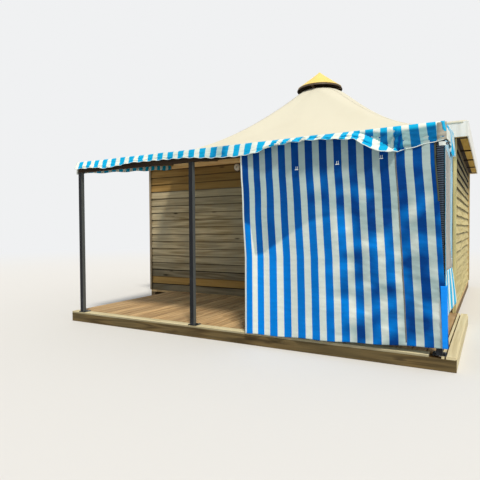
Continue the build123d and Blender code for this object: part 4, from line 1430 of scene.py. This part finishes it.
def side_spot(y, z):
    """A point of the side curtain at a depth and a height: flat high up, bellied out low down."""
    sway = 0.010 * noise.noise(Vector((y * 1.8, z * 1.5, 9.0)))
    run = y - side_low.y
    belly = 0.085 * ease(1.5 - z, 0.0, 1.15) * ease(run, -0.05, 0.62) * (1 - ease(run, 0.75, 1.5))
    flutter = 0.010 * math.sin(run * 11.0 + z) * ease(1.5 - z, 0.0, 1.0)
    inwards = 0.024 * ease(run, 0.9, 2.4)
    return Vector((side_edge(y) + 0.010 - inwards + belly + max(0.0, flutter) + abs(sway), y, z))


print("side curtain", round(side_long, 2), "m long")

# %% Its parts, each between two lines given along it


def panel(y_span, top, foot):
    """A place function for the part of the side curtain between the lines top and foot."""
    def place(a, b):
        y = y_span[0] + (y_span[1] - y_span[0]) * a
        high, low = top(y), foot(y)
        z = high - (high - low) * b
        return side_spot(y, z), (y - side_low.y + 0.005, z)
    return place


def side_top(y):
    """The side curtain's upper edge, just under the valance."""
    return min(side_high.z - 0.001, valance_high.z - 0.163 + slope * (y - canopy_low.y))


def side_foot(y):
    """Its foot, which the wind lifts more at the front."""
    return line([(0.0, 0.51), (0.7, 0.60), (side_long, 0.35)], y - side_low.y)


def sill(y):
    """The window's lower edge, which dips at the front."""
    level = window_low.z + 0.13
    return line([(0.0, window_low.z), (0.15, level), (side_long, level)], y - side_low.y)


def head(y):
    """The window's upper edge, which is level at every depth."""
    return window_high.z


# %% The side curtain and the clear window in it
parts = {
    "side_curtain_foot": (panel((side_low.y, side_high.y), sill, side_foot), (2.50, 0.46), 90, 24),
    "side_curtain_front": (panel((side_low.y, window_low.y), head, sill), (0.026, 1.35), 2, 40),
    "side_curtain_back": (panel((window_high.y, side_high.y), head, sill), (1.14, 1.22), 50, 40),
    "side_curtain_head": (panel((side_low.y, side_high.y), side_top, head), (2.48, 0.22), 70, 12),
}
# Each part of the side curtain takes painted sunlight all over
for number, (name, (place, flat, across, down)) in enumerate(parts.items()):
    stands_for = ("side_curtain",) if number == 0 else ()
    part = hang(name, place, across, down, "striped_cloth", awning_cloth, stands_for, sun=lambda a, b: 0.95)
window = hang("window_sheet", panel((window_low.y, window_high.y), head, sill), 50, 40,
              "clear_window", window_finish, ("side_window",), 0.001)

# %% The curtain's edge, wrapped round the corner below the window


wrap_wide, wrap_foot = 0.13, 0.236


def wrap_place(a, b):
    """A point of the wrapped edge: a from the front face round to the side, b down."""
    z = window_low.z - (window_low.z - wrap_foot) * b
    corner = Vector((2.957 + 0.010 * b, hang_y - 0.050, z))
    across = wrap_wide * a
    front_part = 0.052 - 0.010 * b
    spot = (0.004 + 0.07 * a, -z)
    if across < front_part:
        return corner + along_x * (across - front_part), spot
    return corner + Vector((0.004 * math.sin(a * 20), across - front_part, 0)), spot


# The wrapped edge takes painted sunlight all over
wrap = hang("corner_wrap", wrap_place, 24, 40, "striped_cloth", corner_cloth, sun=lambda a, b: 0.9)

# %% [markdown]
# ## Webbing on the corner post
# The corner post is wound with navy webbing, which shows as fine ribs beside the curtain. A bump
# in the finish would leave its outline smooth. So it is one tube whose rings step in and out as
# they climb, and every second ring has a dark finish: painted shade in the groove.

# %% Webbing wound round the corner post
low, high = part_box("post_right")
middle = Vector(((low.x + high.x) / 2, low.y + 0.03, 0))
points, faces, cut = [], [], []
turns, per_turn = 132, 20
wound_from, wound_tall = 0.84, 1.41
for level in range(turns + 1):
    z = wound_from + wound_tall * level / turns
    half = 0.0325 if level % 2 else 0.0365
    for corner in range(per_turn):
        angle = 2 * math.pi * (corner + 0.5) / per_turn
        square = half / max(abs(math.cos(angle)), abs(math.sin(angle)))
        radius = min(square, half * 1.27)
        points.append(middle + Vector((radius * math.cos(angle), radius * math.sin(angle),
                                       z + 0.010 * corner / per_turn)))
for level in range(turns):
    for corner in range(per_turn):
        a, b = level * per_turn + corner, level * per_turn + (corner + 1) % per_turn
        faces.append((a, b, b + per_turn, a + per_turn))
        cut += [(corner * 0.01, level * 0.02), (corner * 0.01 + 0.01, level * 0.02),
                (corner * 0.01 + 0.01, level * 0.02 + 0.02), (corner * 0.01, level * 0.02 + 0.02)]
# Woven polyester webbing: navy ribs, each with a black line of shade under it
webbing = [tape("polyester_webbing_navy", "#465364", "#364250"),
           tape("webbing_in_its_own_shade", "#1B222B", "#141A22")]
piece("post_webbing", points, faces, "post_steel", webbing, cut,
      finish_of=[level % 2 for level in range(turns) for corner in range(per_turn)], smooth=False)
print("webbing", turns // 2, "turns round the corner post")

# %% [markdown]
# ## The wall lamp
# A round bulkhead lamp hangs under the eaves beside the curtain: a base ring, a pebbled glass
# dome and a small screw in its middle. It is turned about its own axis, which points forward.

# %% Wall lamp
# Opal glass, pressed: smooth and milky, yellowed by dust
glass_finish = mottled("opal_glass_aged", "#DDD3BC", "#C4B79C", 30.0, 4.0, 0.25)
low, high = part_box("wall_lamp")
centre = (low + high) / 2
radius, proud = (high.x - low.x) / 2, high.y - low.y
outline = [(radius, 0), (radius, 0.012), (radius - 0.004, 0.016), (radius - 0.012, 0.018),
           (radius - 0.014, 0.024), (radius * 0.72, 0.042), (radius * 0.45, 0.051),
           (radius * 0.2, proud - 0.001), (0.009, proud - 0.002), (0.009, proud), (0.0005, proud)]
points, faces, cut = [], [], []
sides = 48
for side in range(sides):
    angle = 2 * math.pi * side / sides
    for out, forward in outline:
        points.append(Vector((centre.x + out * math.cos(angle), high.y - forward,
                              centre.z + out * math.sin(angle))))
for side in range(sides):
    after = (side + 1) % sides
    for number in range(len(outline) - 1):
        a, b = side * len(outline) + number, after * len(outline) + number
        faces.append((a, b, b + 1, a + 1))
        cut += [(0, 0), (0.01, 0), (0.01, 0.01), (0, 0.01)]
# The base ring and the screw are dark, and the dome between them is glass
finish_of = [0 if 3 <= face[0] % len(outline) <= 7 else 1 for face in faces]
lamp = piece("bulkhead_lamp", points, faces, "lamp_shell", [glass_finish, band_finish], cut, ("wall_lamp",),
             finish_of=finish_of, smooth=True)
keep_creases(lamp, 35)
print("lamp", round(2 * radius * 1000), "mm across")
